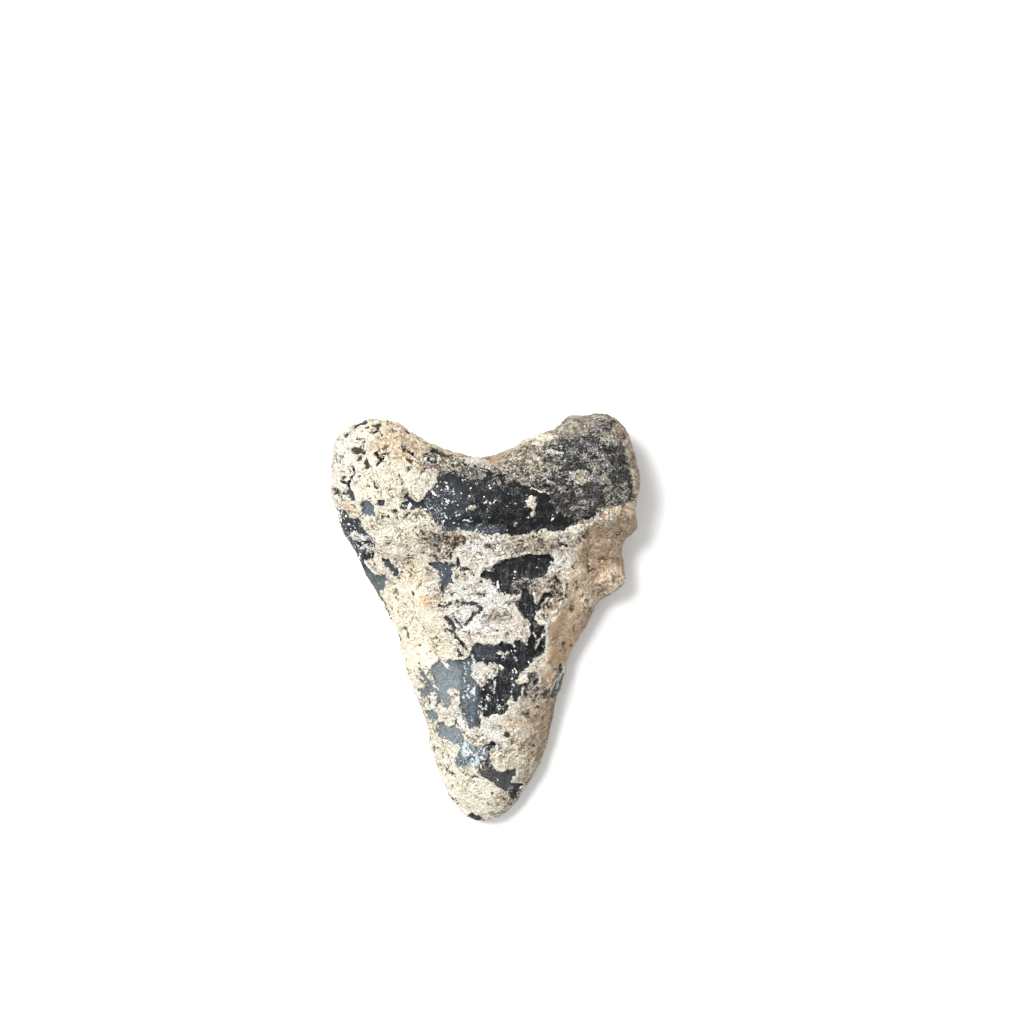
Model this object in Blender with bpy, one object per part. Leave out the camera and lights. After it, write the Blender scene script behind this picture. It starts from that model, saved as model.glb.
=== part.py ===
"""A fossil megalodon tooth under a crust of dried sea growth, lying on its flat outer face.

The tooth lies as it would on a table: +Z is up, the tip points to -Y and the root to +Y, and the origin
is on the table, under the middle of the tooth's box. Sizes and places here are in millimetres, and the
mesh is scaled to metres when it is finished. The tooth grew as one piece, so it is one solid: an
icosphere drawn out to the tooth's outline, given the height of the tooth's two faces, and then pushed
in and out along its normals by the crust, the bare patches and the pits.
"""

import math

import bmesh
import bpy
import numpy as np
from mathutils import Matrix, Vector, noise

MILLIMETRE = 0.001

# Driving dimensions.
TOOTH_LENGTH = 88.9
TOOTH_WIDTH = 66.2
CRUST_THICKNESS = 0.65
MOST_TRIANGLES = 9600
SPHERE_SUBDIVISIONS = 7

# Colours as linear RGB, with their roughness.
CRUST_COLOUR = (0.62, 0.52, 0.39, 1.0)
CRUST_ROUGHNESS = 0.9
BARE_COLOUR = (0.028, 0.034, 0.044, 1.0)
BARE_ROUGHNESS = 0.5

# The tooth's outline seen from above, clockwise from the left lobe's shoulder.
OUTLINE = (
    # left lobe of the root
    (-33.1, 31.0), (-32.4, 36.8), (-30.2, 40.3), (-27.3, 42.3), (-23.4, 42.8), (-19.6, 42.4), (-16.8, 41.2),
    # notch between the lobes
    (-14.2, 39.0), (-10.8, 37.2), (-6.4, 35.6), (-1.5, 34.9), (2.8, 35.4), (6.2, 36.9), (9.7, 38.8),
    # right lobe of the root, flatter on top
    (14.4, 40.3), (16.9, 41.9), (18.6, 43.3), (21.6, 43.4), (25.0, 43.9), (27.8, 43.0), (30.2, 40.8),
    (31.5, 37.6), (32.4, 33.4), (33.1, 29.4), (32.9, 25.4),
    # crusted flange below the right lobe
    (32.3, 22.4), (32.4, 20.2), (31.0, 18.0), (29.8, 15.6), (29.6, 13.0), (30.1, 10.2), (29.5, 7.4),
    (27.5, 5.4), (24.8, 3.3),
    # right edge of the blade
    (23.0, -0.1), (20.8, -3.7), (18.8, -7.0), (17.6, -10.7), (16.5, -15.4), (15.0, -20.7), (13.4, -26.4),
    (11.5, -32.0), (9.5, -35.6), (7.9, -38.4), (6.0, -41.2),
    # worn tip
    (3.5, -43.2), (0.8, -44.3), (-1.8, -44.9), (-4.4, -43.6), (-6.9, -40.8),
    # left edge of the blade
    (-8.9, -37.4), (-10.5, -33.2), (-12.1, -28.2), (-13.2, -23.5), (-14.7, -18.9), (-17.5, -10.7),
    (-18.9, -6.3), (-20.5, -2.4), (-22.4, 1.3), (-24.9, 5.3), (-27.1, 9.2), (-28.5, 12.5),
    # left shoulder
    (-29.9, 14.9), (-31.4, 18.2), (-32.5, 21.8), (-33.3, 26.0),
)
NO_LENGTH = 1e-6  # shorter than this counts as nothing
HEART = (0.5, 14.0)  # every point of the outline is in plain sight from here

# Stations along the tooth, as (y, value). Heights are above the table, and a reach is how far from the
# outline a face takes to rise to its full height.
CREST_HEIGHT = (
    (-45, 7.6), (-37, 9.2), (-22, 11.2), (-6, 13.6), (8, 15.4), (16, 16.2), (24, 18.2), (35, 18.8),
    (44, 16.5),
)
RIM_HEIGHT = ((-45, 3.6), (-30, 3.6), (-10, 4.0), (4, 4.8), (14, 6.6), (24, 8.6), (44, 9.2))
LEFT_REACH = (
    (-45, 7.0), (-35, 10.5), (-20, 14.5), (-6, 19.0), (6, 23.0), (16, 22.0), (26, 15.0), (44, 11.5),
)
RIGHT_REACH = (
    (-45, 6.0), (-35, 8.5), (-20, 11.0), (-6, 13.0), (6, 17.5), (16, 17.0), (26, 12.5), (44, 10.0),
)
UNDER_REACH = ((-45, 4.5), (-20, 6.5), (6, 8.5), (20, 10.0), (44, 10.0))
FULLNESS = ((-45, 1.6), (0, 1.4), (14, 1.6), (24, 2.1), (44, 2.2))
REACH_CHANGE = 8.0  # half the width of the strip where the left reach gives way to the right one
RIM_WRAP = (0.6, 2.0)  # the upper face's crust ends between these depths below the rim
UNDER_FULLNESS = 1.7
UNDER_SINK = 0.3  # how far the outer face is ground down, which leaves its flat resting patches

# Swellings and hollows of the tooth itself, as (x, y), (half width, half length), height.
ROOT_BULGE = ((1.0, 28.0), (15.0, 6.5), 1.9)
NECK_GROOVE = ((0.0, 17.6), (22.0, 2.2), -0.5)
LEFT_LOBE_SWELL = ((-24.0, 34.0), (7.0, 6.0), 0.8)
RIGHT_LOBE_SWELL = ((24.0, 35.0), (6.0, 5.0), 0.7)
UPPER_SWELLS = (ROOT_BULGE, NECK_GROOVE, LEFT_LOBE_SWELL, RIGHT_LOBE_SWELL)
LABIAL_DISH = ((1.0, 27.0), (13.0, 6.0), 1.0)
LABIAL_GROOVE = ((-0.5, 8.0), (1.6, 14.0), 0.5)
LOWER_SWELLS = (LABIAL_DISH, LABIAL_GROOVE)

# Where the crust has come away and the dark tooth shows, as closed curves on the upper face.
BARE_PATCHES = {
    "root band": (
        (-18.1, 23.9), (-16.8, 26.0), (-13.8, 25.2), (-11.8, 27.1), (-10.5, 29.7), (-8.2, 31.4),
        (-3.2, 31.2), (2.8, 31.0), (7.5, 29.7), (13.5, 29.2), (19.0, 26.4), (24.7, 22.8), (20.4, 20.4),
        (16.1, 18.9), (10.8, 18.5), (5.8, 17.8), (-1.1, 18.5), (-6.5, 19.4), (-9.7, 21.1), (-12.3, 23.0),
        (-15.7, 22.8),
    ),
    "brow": (
        (-0.6, 9.7), (1.1, 11.4), (4.7, 12.7), (9.7, 13.5), (13.8, 14.0), (14.0, 11.0), (11.0, 8.8),
        (8.6, 7.3), (7.1, 5.2), (3.9, 5.8), (1.9, 7.5),
    ),
    "channel": (
        (8.2, 6.9), (9.9, 5.2), (10.8, 3.7), (12.9, 5.2), (15.6, 4.6), (12.9, 3.4), (11.4, 1.3),
        (11.9, -0.5), (13.0, -2.6), (13.0, -8.0), (10.0, -8.5), (9.9, -4.7), (10.1, -1.5), (8.0, 1.3),
        (7.1, 3.2),
    ),
    "blade": (
        (-1.9, -5.4), (4.3, -5.4), (7.5, -4.9), (13.0, -4.7), (13.0, -8.0), (9.2, -10.8), (6.7, -12.9),
        (5.8, -15.5), (4.9, -18.3), (3.9, -20.6), (0.4, -21.3), (-1.1, -18.9), (-1.7, -23.0),
        (-3.4, -22.6), (-4.7, -20.2), (-5.4, -16.6), (-8.6, -15.5), (-11.2, -12.3), (-10.5, -9.5),
        (-6.5, -8.8), (-3.4, -8.6),
    ),
    "chin": (
        (1.3, -26.7), (0.9, -29.5), (1.7, -32.0), (3.9, -33.1), (6.5, -32.7), (6.0, -35.3), (8.4, -35.7),
        (6.8, -38.3), (4.1, -37.0), (1.7, -35.5), (-0.4, -33.1), (-1.3, -30.5), (-0.2, -27.5),
    ),
    "left margin": (
        (-35.0, 25.4), (-30.7, 23.7), (-28.6, 21.5), (-26.9, 21.1), (-26.0, 18.5), (-24.3, 15.7),
        (-25.2, 12.5), (-23.0, 9.7), (-21.3, 7.1), (-20.9, 3.9), (-19.8, 0.6), (-18.3, -4.7), (-24.0, -3.0),
        (-29.0, 6.0), (-33.0, 14.0),
    ),
}
# The same on the outer face, seen from above.
LOWER_BARE_PATCHES = {
    "outer root": (
        (-24.0, 33.0), (-10.0, 30.0), (6.0, 29.5), (20.0, 34.0), (23.0, 28.0), (8.0, 24.0), (-12.0, 25.0),
    ),
    "outer crown": (
        (-8.0, 12.0), (4.0, 16.0), (12.0, 9.0), (9.0, -4.0), (4.0, -16.0), (-3.0, -14.0), (-9.0, 0.0),
    ),
    "outer point": ((-3.0, -24.0), (3.0, -26.0), (5.0, -35.0), (0.0, -39.0), (-5.0, -33.0)),
}
PATCH_STEP = 0.45  # half the width of the slope from crust to bare tooth
PATCH_RAGGEDNESS = 0.9
PATCH_RAGGED_SIZE = 2.6
SPAN_POINTS = 5  # steps that a patch's or a lip's curve takes from one given point to the next
FINE_SPAN_POINTS = 10  # the same for the outline and the stations

# Raised lips of the crust, as open curves with (height, half width).
CRUST_LIPS = {
    "under the root band": (
        ((-21.5, 16.6), (-12.5, 18.0), (-5.4, 17.4), (5.8, 16.6), (12.9, 17.5), (20.4, 19.4), (27.5, 22.2)),
        (0.55, 1.1),
    ),
    "left rim of the right flank": (
        (
            (17.0, 8.6), (17.3, 5.2), (15.7, 1.5), (14.0, -0.4), (13.8, -7.4), (11.4, -9.9), (12.2, -13.8),
            (13.2, -15.3),
        ),
        (0.75, 0.8),
    ),
    "front of the right flank": (((13.2, -15.3), (14.4, -14.4), (15.4, -12.6)), (0.5, 0.7)),
    "ring of a lost barnacle": (((-17.4, -1.0), (-16.2, -2.6), (-16.4, -4.8), (-17.6, -5.6)), (0.35, 0.5)),
}
# Lumps (and, below 0, hollows) of crust on the upper face, as (x, y), half width, height.
CRUST_LUMPS = (
    ((25.6, 9.4), 3.6, 1.1), ((28.9, 8.2), 1.6, 0.5), ((31.6, 20.0), 1.6, 0.7), ((27.3, 23.0), 2.6, 0.8),
    ((22.4, 13.4), 2.6, -0.8), ((19.4, 10.5), 1.8, 0.6), ((19.2, -1.5), 3.0, 0.4), ((20.8, 4.5), 1.2, 0.4),
    ((10.4, 23.9), 0.9, 0.5), ((-20.5, 20.5), 3.5, 0.5), ((-12.0, 8.0), 4.5, 0.4), ((2.0, 1.0), 4.0, 0.45),
    ((5.0, -27.0), 3.5, 0.5), ((-6.0, -34.0), 3.0, 0.4), ((17.8, 42.6), 1.4, 0.5), ((-16.0, 31.5), 4.0, 0.4),
)
# Pits in the crusted root and blade, as (x, y), half width, depth.
PITS = (
    ((-27.2, 36.1), 1.15, 1.0), ((-26.2, 34.5), 0.7, 0.7), ((-25.5, 32.8), 0.8, 1.0),
    ((-22.0, 35.8), 0.8, 0.7), ((-22.8, 34.5), 0.7, 0.7), ((-26.0, 41.3), 1.1, 0.6),
    ((-23.3, 41.2), 1.0, 0.8), ((-17.1, 36.5), 0.9, 0.8), ((-16.3, 40.2), 0.8, 0.5),
    ((-28.4, 31.6), 0.7, 0.6), ((-29.4, 27.2), 1.1, 0.6), ((-31.9, 27.6), 0.8, 0.5),
    ((-25.4, 23.4), 1.3, 0.6), ((-22.5, 24.6), 0.8, 0.6), ((-12.1, 34.5), 1.1, 0.8),
    ((4.8, -25.0), 0.6, 0.8), ((-9.2, 5.8), 0.8, 0.5), ((-17.4, 12.6), 0.8, 0.5),
)
PIT_WALL = (0.3, 1.3)  # a pit's wall rises between these shares of its half width
LUMPINESS = 0.55
LUMP_SIZE = 9.0
GRAIN = 0.16
GRAIN_SIZE = 2.4
NOISE_ROUGHNESS = 1.0
NOISE_GAIN = 2.1
NOISE_OCTAVES = 3
REST_FACE = 0.03  # points this near the table after thinning are set down on it
SHARP_ANGLE = 50  # faces that meet at more than this many degrees keep a sharp edge between them


def smooth_curve(points, closed, per_span=FINE_SPAN_POINTS):
    """Points of a Catmull-Rom curve through the given ones."""
    points = np.array(points, float)
    count = len(points)
    t = (np.arange(per_span) / per_span)[:, None]
    curve = []
    for span in range(count if closed else count - 1):
        index = np.arange(span - 1, span + 3)
        index = index % count if closed else np.clip(index, 0, count - 1)
        before, start, end, after = points[index]
        bend = 2 * before - 5 * start + 4 * end - after
        twist = 3 * start - before - 3 * end + after
        curve.append(start + 0.5 * (t * (end - before) + t**2 * bend + t**3 * twist))
    curve.append(curve[0][:1] if closed else points[-1:])
    return np.concatenate(curve)


def along(stations, y):
    """The value at each y of a smooth line through (y, value) stations."""
    line = smooth_curve(stations, closed=False)
    return np.interp(y, line[:, 0], line[:, 1])


def smoothstep(low, high, value):
    t = np.clip((value - low) / (high - low), 0.0, 1.0)
    return t * t * (3 - 2 * t)


def distance_to_line(places, line):
    """Distance in XY from each place to a polyline."""
    nearest = np.full(len(places), np.inf)
    for start, end in zip(line[:-1], line[1:]):
        run = end - start
        share = np.clip((places - start) @ run / max(run @ run, NO_LENGTH**2), 0.0, 1.0)
        offset = places - start - share[:, None] * run
        nearest = np.minimum(nearest, (offset**2).sum(axis=1))
    return np.sqrt(nearest)


def depth_inside(places, line):
    """Distance in XY to a closed line, positive inside it."""
    inside = np.zeros(len(places), bool)
    x, y = places.T
    for (x0, y0), (x1, y1) in zip(line[:-1], line[1:]):
        crosses = (y0 > y) != (y1 > y)
        height = y1 - y0 if y1 != y0 else 1.0
        inside ^= crosses & (x < (x1 - x0) * (y - y0) / height + x0)
    distance = distance_to_line(places, line)
    return np.where(inside, distance, -distance)


def grain(points, size, seed):
    """Fractal noise at each point, about -1 to 1, with features of that size."""
    shift = Vector((seed, 2.3 * seed, -1.7 * seed))
    return np.array([
        noise.fractal(Vector(point) / size + shift, NOISE_ROUGHNESS, NOISE_GAIN, NOISE_OCTAVES)
        for point in points
    ])


def swell(share, fullness):
    """Height of a rounded edge, 0 at the rim and 1 from where share reaches 1."""
    left = 1.0 - np.clip(share, 0.0, 1.0)
    return (1.0 - left**2) ** (1.0 / fullness)


def hills(places, swells):
    """Sum of smooth swellings and hollows, given as (centre, half sizes, height)."""
    total = np.zeros(len(places))
    for centre, size, height in swells:
        total += height * np.exp(-(((places - centre) / size) ** 2).sum(axis=1))
    return total


def upper_height(places, from_rim):
    """Height of the inner (lingual) face, which is the convex one and lies upwards."""
    x, y = places.T
    right_side = smoothstep(-REACH_CHANGE, REACH_CHANGE, x)
    reach = (1 - right_side) * along(LEFT_REACH, y) + right_side * along(RIGHT_REACH, y)
    rim = along(RIM_HEIGHT, y)
    rise = swell(from_rim / reach, along(FULLNESS, y))
    return rim + (along(CREST_HEIGHT, y) - rim + hills(places, UPPER_SWELLS)) * rise


def lower_height(places, from_rim):
    """Height of the outer (labial) face, nearly flat, with a shallow dish in the root."""
    y = places[:, 1]
    flat = swell(from_rim / along(UNDER_REACH, y), UNDER_FULLNESS)
    return along(RIM_HEIGHT, y) * (1 - flat) + (hills(places, LOWER_SWELLS) - UNDER_SINK) * flat


def drawn_out_sphere():
    """An icosphere whose equator is drawn out to the outline, at the heights of the two faces."""
    shape = bmesh.new()
    bmesh.ops.create_icosphere(shape, subdivisions=SPHERE_SUBDIVISIONS, radius=1.0)
    direction = np.array([vertex.co for vertex in shape.verts])
    outline = smooth_curve(OUTLINE, closed=True)
    outline *= (TOOTH_WIDTH, TOOTH_LENGTH) / np.ptp(outline, axis=0)
    spoke = outline - HEART
    angle = np.arctan2(spoke[:, 1], spoke[:, 0])
    order = np.argsort(angle)
    turn = np.arctan2(direction[:, 1], direction[:, 0])
    radius = np.interp(turn, angle[order], np.hypot(*spoke[order].T), period=2 * math.pi)
    share = np.hypot(direction[:, 0], direction[:, 1])
    places = HEART + (share * radius)[:, None] * np.stack([np.cos(turn), np.sin(turn)], axis=1)
    on_rim = np.abs(direction[:, 2]) < NO_LENGTH
    from_rim = np.where(on_rim, 0.0, distance_to_line(places, outline))
    upper = direction[:, 2] > 0
    height = np.where(upper, upper_height(places, from_rim), lower_height(places, from_rim))
    for vertex, (x, y), z in zip(shape.verts, places, height):
        vertex.co = (x, y, z)
    shape.normal_update()
    return shape


def bareness(points, upper):
    """1 where a patch has lost its crust and 0 where the crust is whole, with ragged borders."""
    ragged = PATCH_RAGGEDNESS * np.stack([
        grain(points, PATCH_RAGGED_SIZE, seed=3.1),
        grain(points, PATCH_RAGGED_SIZE, seed=7.9),
    ], axis=1)
    places = points[:, :2] + ragged
    bare = np.zeros(len(points))
    for patches, side in ((BARE_PATCHES, upper), (LOWER_BARE_PATCHES, 1 - upper)):
        for patch in patches.values():
            depth = depth_inside(places, smooth_curve(patch, closed=True, per_span=SPAN_POINTS))
            bare = np.maximum(bare, side * smoothstep(-PATCH_STEP, PATCH_STEP, depth))
    return bare


def relief(points, upper):
    """How far the surface stands out along its normals: crust, lips, lumps and pits."""
    places = points[:, :2]
    out = LUMPINESS * grain(points, LUMP_SIZE, seed=1.4) + GRAIN * grain(points, GRAIN_SIZE, seed=5.2)
    out -= CRUST_THICKNESS * bareness(points, upper)
    for line, (height, half_width) in CRUST_LIPS.values():
        distance = distance_to_line(places, smooth_curve(line, closed=False, per_span=SPAN_POINTS))
        out += upper * height * np.exp(-((distance / half_width) ** 2))
    for centre, half_width, height in CRUST_LUMPS:
        out += upper * hills(places, [(centre, (half_width, half_width), height)])
    for centre, half_width, depth in PITS:
        off = np.hypot(*(places - centre).T) / half_width
        out -= upper * depth * (1 - smoothstep(*PIT_WALL, off))
    return out


def upperness(points):
    """1 on the upper face and round the rim, falling to 0 on the lower face."""
    below_rim = along(RIM_HEIGHT, points[:, 1]) - points[:, 2]
    return 1 - smoothstep(*RIM_WRAP, below_rim)


def crust_over(shape):
    """Pushes the surface out by its relief, and grinds the outer face flat where it meets the table."""
    points = np.array([vertex.co for vertex in shape.verts])
    normals = np.array([vertex.normal for vertex in shape.verts])
    points = points + normals * relief(points, upperness(points))[:, None]
    points[:, 2] = np.maximum(points[:, 2], 0.0)
    for vertex, point in zip(shape.verts, points):
        vertex.co = point


def material(name, colour, roughness):
    made = bpy.data.materials.new(name)
    made.use_nodes = True
    made.diffuse_color = colour
    shader = made.node_tree.nodes["Principled BSDF"]
    shader.inputs["Base Color"].default_value = colour
    shader.inputs["Roughness"].default_value = roughness
    shader.inputs["Metallic"].default_value = 0.0
    return made


def thinned(shape):
    """The shape as a mesh of few triangles, small where the form is fine and large where it is plain."""
    mesh = bpy.data.meshes.new("dense tooth")
    shape.to_mesh(mesh)
    shape.free()
    dense = bpy.data.objects.new("dense tooth", mesh)
    bpy.context.scene.collection.objects.link(dense)
    decimate = dense.modifiers.new("fewer triangles", "DECIMATE")
    decimate.ratio = MOST_TRIANGLES / len(mesh.polygons)
    graph = bpy.context.evaluated_depsgraph_get()
    thin = bpy.data.meshes.new_from_object(dense.evaluated_get(graph))
    bpy.data.objects.remove(dense)
    return thin


def colour_in(mesh):
    """Gives the bare patches their own material."""
    mesh.materials.append(material("crust", CRUST_COLOUR, CRUST_ROUGHNESS))
    mesh.materials.append(material("bare tooth", BARE_COLOUR, BARE_ROUGHNESS))
    centres = np.array([face.center for face in mesh.polygons])
    for face, bare in zip(mesh.polygons, bareness(centres, upperness(centres))):
        face.material_index = int(bare > 0.5)


def settle(mesh):
    """Sets the resting patches on the table, and the origin under the middle of the box."""
    points = np.array([vertex.co for vertex in mesh.vertices])
    points[:, 2] = np.where(points[:, 2] < REST_FACE, 0.0, points[:, 2])
    middle = (points.min(axis=0) + points.max(axis=0)) / 2
    middle[2] = 0.0
    for vertex, point in zip(mesh.vertices, points - middle):
        vertex.co = point


def main():
    for old in list(bpy.data.objects):
        bpy.data.objects.remove(old)
    shape = drawn_out_sphere()
    crust_over(shape)
    mesh = thinned(shape)
    mesh.name = "tooth"
    colour_in(mesh)
    settle(mesh)
    mesh.transform(Matrix.Scale(MILLIMETRE, 4))
    mesh.shade_smooth()
    mesh.set_sharp_from_angle(angle=math.radians(SHARP_ANGLE))
    tooth = bpy.data.objects.new("tooth", mesh)
    bpy.context.scene.collection.objects.link(tooth)


main()
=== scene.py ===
"""The looks of the fossil megalodon tooth: its fine surface and colours, the table, the light and the camera.

The camera looks straight down at the tooth, which lies with its root away from it. Marks on the upper face
are written as (right, down) in pixels of this camera's own picture, which is 1024 pixels square, and are
carried along its lines of sight onto the tooth. Everything else is in millimetres, in the frame's axes,
and is scaled to metres when it is made.
"""

import math
from collections import namedtuple
from functools import reduce

import bpy
import numpy as np
from mathutils import Matrix, Vector, noise


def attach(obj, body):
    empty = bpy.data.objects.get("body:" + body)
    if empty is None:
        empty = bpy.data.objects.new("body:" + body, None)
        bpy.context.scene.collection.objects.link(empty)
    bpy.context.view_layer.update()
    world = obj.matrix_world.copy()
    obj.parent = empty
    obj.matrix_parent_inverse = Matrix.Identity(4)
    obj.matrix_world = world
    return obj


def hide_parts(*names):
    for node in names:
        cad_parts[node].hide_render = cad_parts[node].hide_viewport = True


MILLIMETRE = 0.001

# Camera
PICTURE_SIZE = 1024
LENS = 50.0
SENSOR = 36.0
CAMERA_PLACE = (5.8, 23.3, 314.4)
CLIP_START = 10.0
FOCAL_LENGTH_PIXELS = PICTURE_SIZE * LENS / SENSOR
PIXEL = 0.215  # what one pixel of the picture spans on the tooth

# Light and table
SKY_STRENGTH = 0.78
KEY_PLACE = (-260.0, 210.0, 480.0)
KEY_AIM = (0.0, 0.0, 10.0)
KEY_SIZE = 240.0
KEY_POWER = 4.7
TABLE_HALF_WIDTH = 2000.0
TABLE_COLOUR = (0.86, 0.86, 0.85, 1.0)
TABLE_ROUGHNESS = 0.7

# Fine mesh
VOXEL = 0.21
MOST_TRIANGLES = 196000
SMOOTHING_ROUNDS = 45

# Relief
CRUST_THICKNESS = 0.36
CRUST_EDGE = 0.16  # half the width of the slope at a crust's edge
LIP_HEIGHT = 0.1
LIP_PLACE = 0.5  # how far from the crust's edge its lip runs
LIP_WIDTH = 0.4
SWELL_SIZE = 4.0
SWELL_HEIGHT = 0.2
LUMP_SIZE = 1.7
LUMP_HEIGHT = 0.28
GRAIN_SIZE = 0.62
GRAIN_HEIGHT = 0.06
GRIMY_GRAIN_HEIGHT = 0.1  # what full grime adds to that
THREAD_SIZE = 2.0
THREAD_HEIGHT = 0.13
THREAD_EDGE = 0.16  # how far from 0 the noise still belongs to a thread
THREADED_SIZE = 5.0  # threads come and go over areas of this size
STREAK_SIZE = 0.5
STREAK_SHAPE = (1.0, 0.2, 1.0)  # the enamel's fine streaks are this much finer across than along the tooth
STREAK_HEIGHT = 0.05
WAVE_SIZE = 3.0
WAVE_HEIGHT = 0.12
PIT_DEPTH = 0.5
PIT_EDGE = 0.25
PAINT_HEIGHT = 0.3
PAINT_LEVEL = 0.4  # small marks lighter than this stand out, and darker ones are sunk
PAINT_EDGE = 0.12
RIDGE_REACH = 15.0  # how far from its line raised crust is still measured, in pixels

# Marks on the upper face. A reach or a shift is in pixels, and a size is in millimetres.
REACH = 8.0  # how far from its border a mark is still measured
RAGGED_SIZE = 1.6
RAGGED_SHIFT = 1.4
FINER_SIZE = 0.6
FINER_SHIFT = 1.0
EXACT_SHIFT = 0.5  # the finer shift, for marks that stay exact
WIDE_SHIFT = 3.0  # a further ragged shift, for soft areas
MARKS_FADE = (-0.5, -0.1)  # the normal's rise over which the upper face's marks fade in
RIDGES_FADE = (-0.3, 0.1)  # the same for its raised crust
CROWN_START = (14.0, 9.0)  # the enamel's streaks fade in between these distances up the tooth
USUAL_GRIME = 0.2
USUAL_SPECKS = 0.12
NO_LENGTH = 1e-12  # keeps the length of a line's step, squared, from being 0

# Marks on the lower face, in millimetres
LOWER_SHIFT = 0.8
LOWER_DEPTHS = (-1.5, 3.0)
LOWER_SPOT_SIZE = 6.0
LOWER_SPECKS = 0.3
DRIFT_SIZE = 7.0

# Material
CRUST_ROUGHNESS = 0.9
ENAMEL_ROUGHNESS = 0.55
GLOSS = 0.15
BUMP = 0.75
EDGE_BUMP = 0.2
SLANT = 18.0  # direction in which the threads of the mixed places run, in degrees

# Colours, as sRGB from 0 to 255
WHITE = (252, 249, 240)
SUNLIT = (232, 227, 213)
CREAM = (250, 243, 222)
LOBE_CREAM = (241, 233, 211)
LIGHT_PEACH = (238, 214, 182)
YELLOW_CREAM = (252, 242, 216)
LIGHT_YELLOW = (255, 250, 228)
TAN = (180, 153, 123)
PALE_TAN = (192, 165, 135)
DARK_TAN = (166, 136, 106)
SOFT_TAN = (226, 202, 168)
PEACH = (254, 228, 194)
LIGHT_SAND = (236, 221, 195)
PINK_CREAM = (240, 226, 212)
GREY_CREAM = (193, 179, 158)
SAND = (174, 155, 131)
OLIVE = (156, 144, 119)
GREY_BEIGE = (216, 207, 186)
RUST = (236, 196, 150)
BLACK = (14, 14, 15)
BROWN_BLACK = (72, 67, 60)
SLATE = (40, 44, 50)
CHARCOAL = (62, 63, 62)
DARK_BLUE = (58, 64, 74)
BLUE_SLATE = (84, 93, 100)
BLUE_GREY = (118, 127, 132)
GREY = (112, 121, 123)
PALE_BLUE = (120, 132, 140)
LEAD = (96, 102, 106)
SEA_GREY = (100, 112, 111)
DARK_SEA = (76, 86, 84)
YELLOW_BROWN = (172, 148, 106)
PINK_GREY = (150, 136, 132)
HOLLOW_BROWN = (126, 104, 82)
DEEP_BROWN = (62, 50, 42)
DUST_GREY = (122, 127, 130)
FIBRE_GREY = (196, 202, 202)
PALE_MINT = (196, 209, 209)
PALE_GREY = (200, 207, 212)
FLECK_WHITE = (236, 236, 230)
UMBER = (138, 127, 109)
MIXED_BLACK = (32, 32, 34)
MIXED_SLATE = (54, 57, 61)
MIXED_GREY = (88, 88, 86)
MIXED_BROWN = (120, 108, 94)
MIXED_PINK = (150, 130, 116)
MIXED_LIGHT = (178, 168, 142)
STAIN_YELLOW = (238, 216, 176)
STAIN_GREY = (210, 198, 182)
PIT_BLACK = (40, 36, 36)
PIT_GREY = (92, 82, 72)

# A cell's distance to its middle at each place, and two chance values of its own
Cells = namedtuple("Cells", ["off", "chance", "hue"])


def oval(x, y, half_width, half_height, count=20):
    """Points round an upright oval."""
    turn = np.linspace(0.0, 2 * math.pi, count, endpoint=False)
    return np.stack([x + half_width * np.cos(turn), y + half_height * np.sin(turn)], axis=1)


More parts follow.
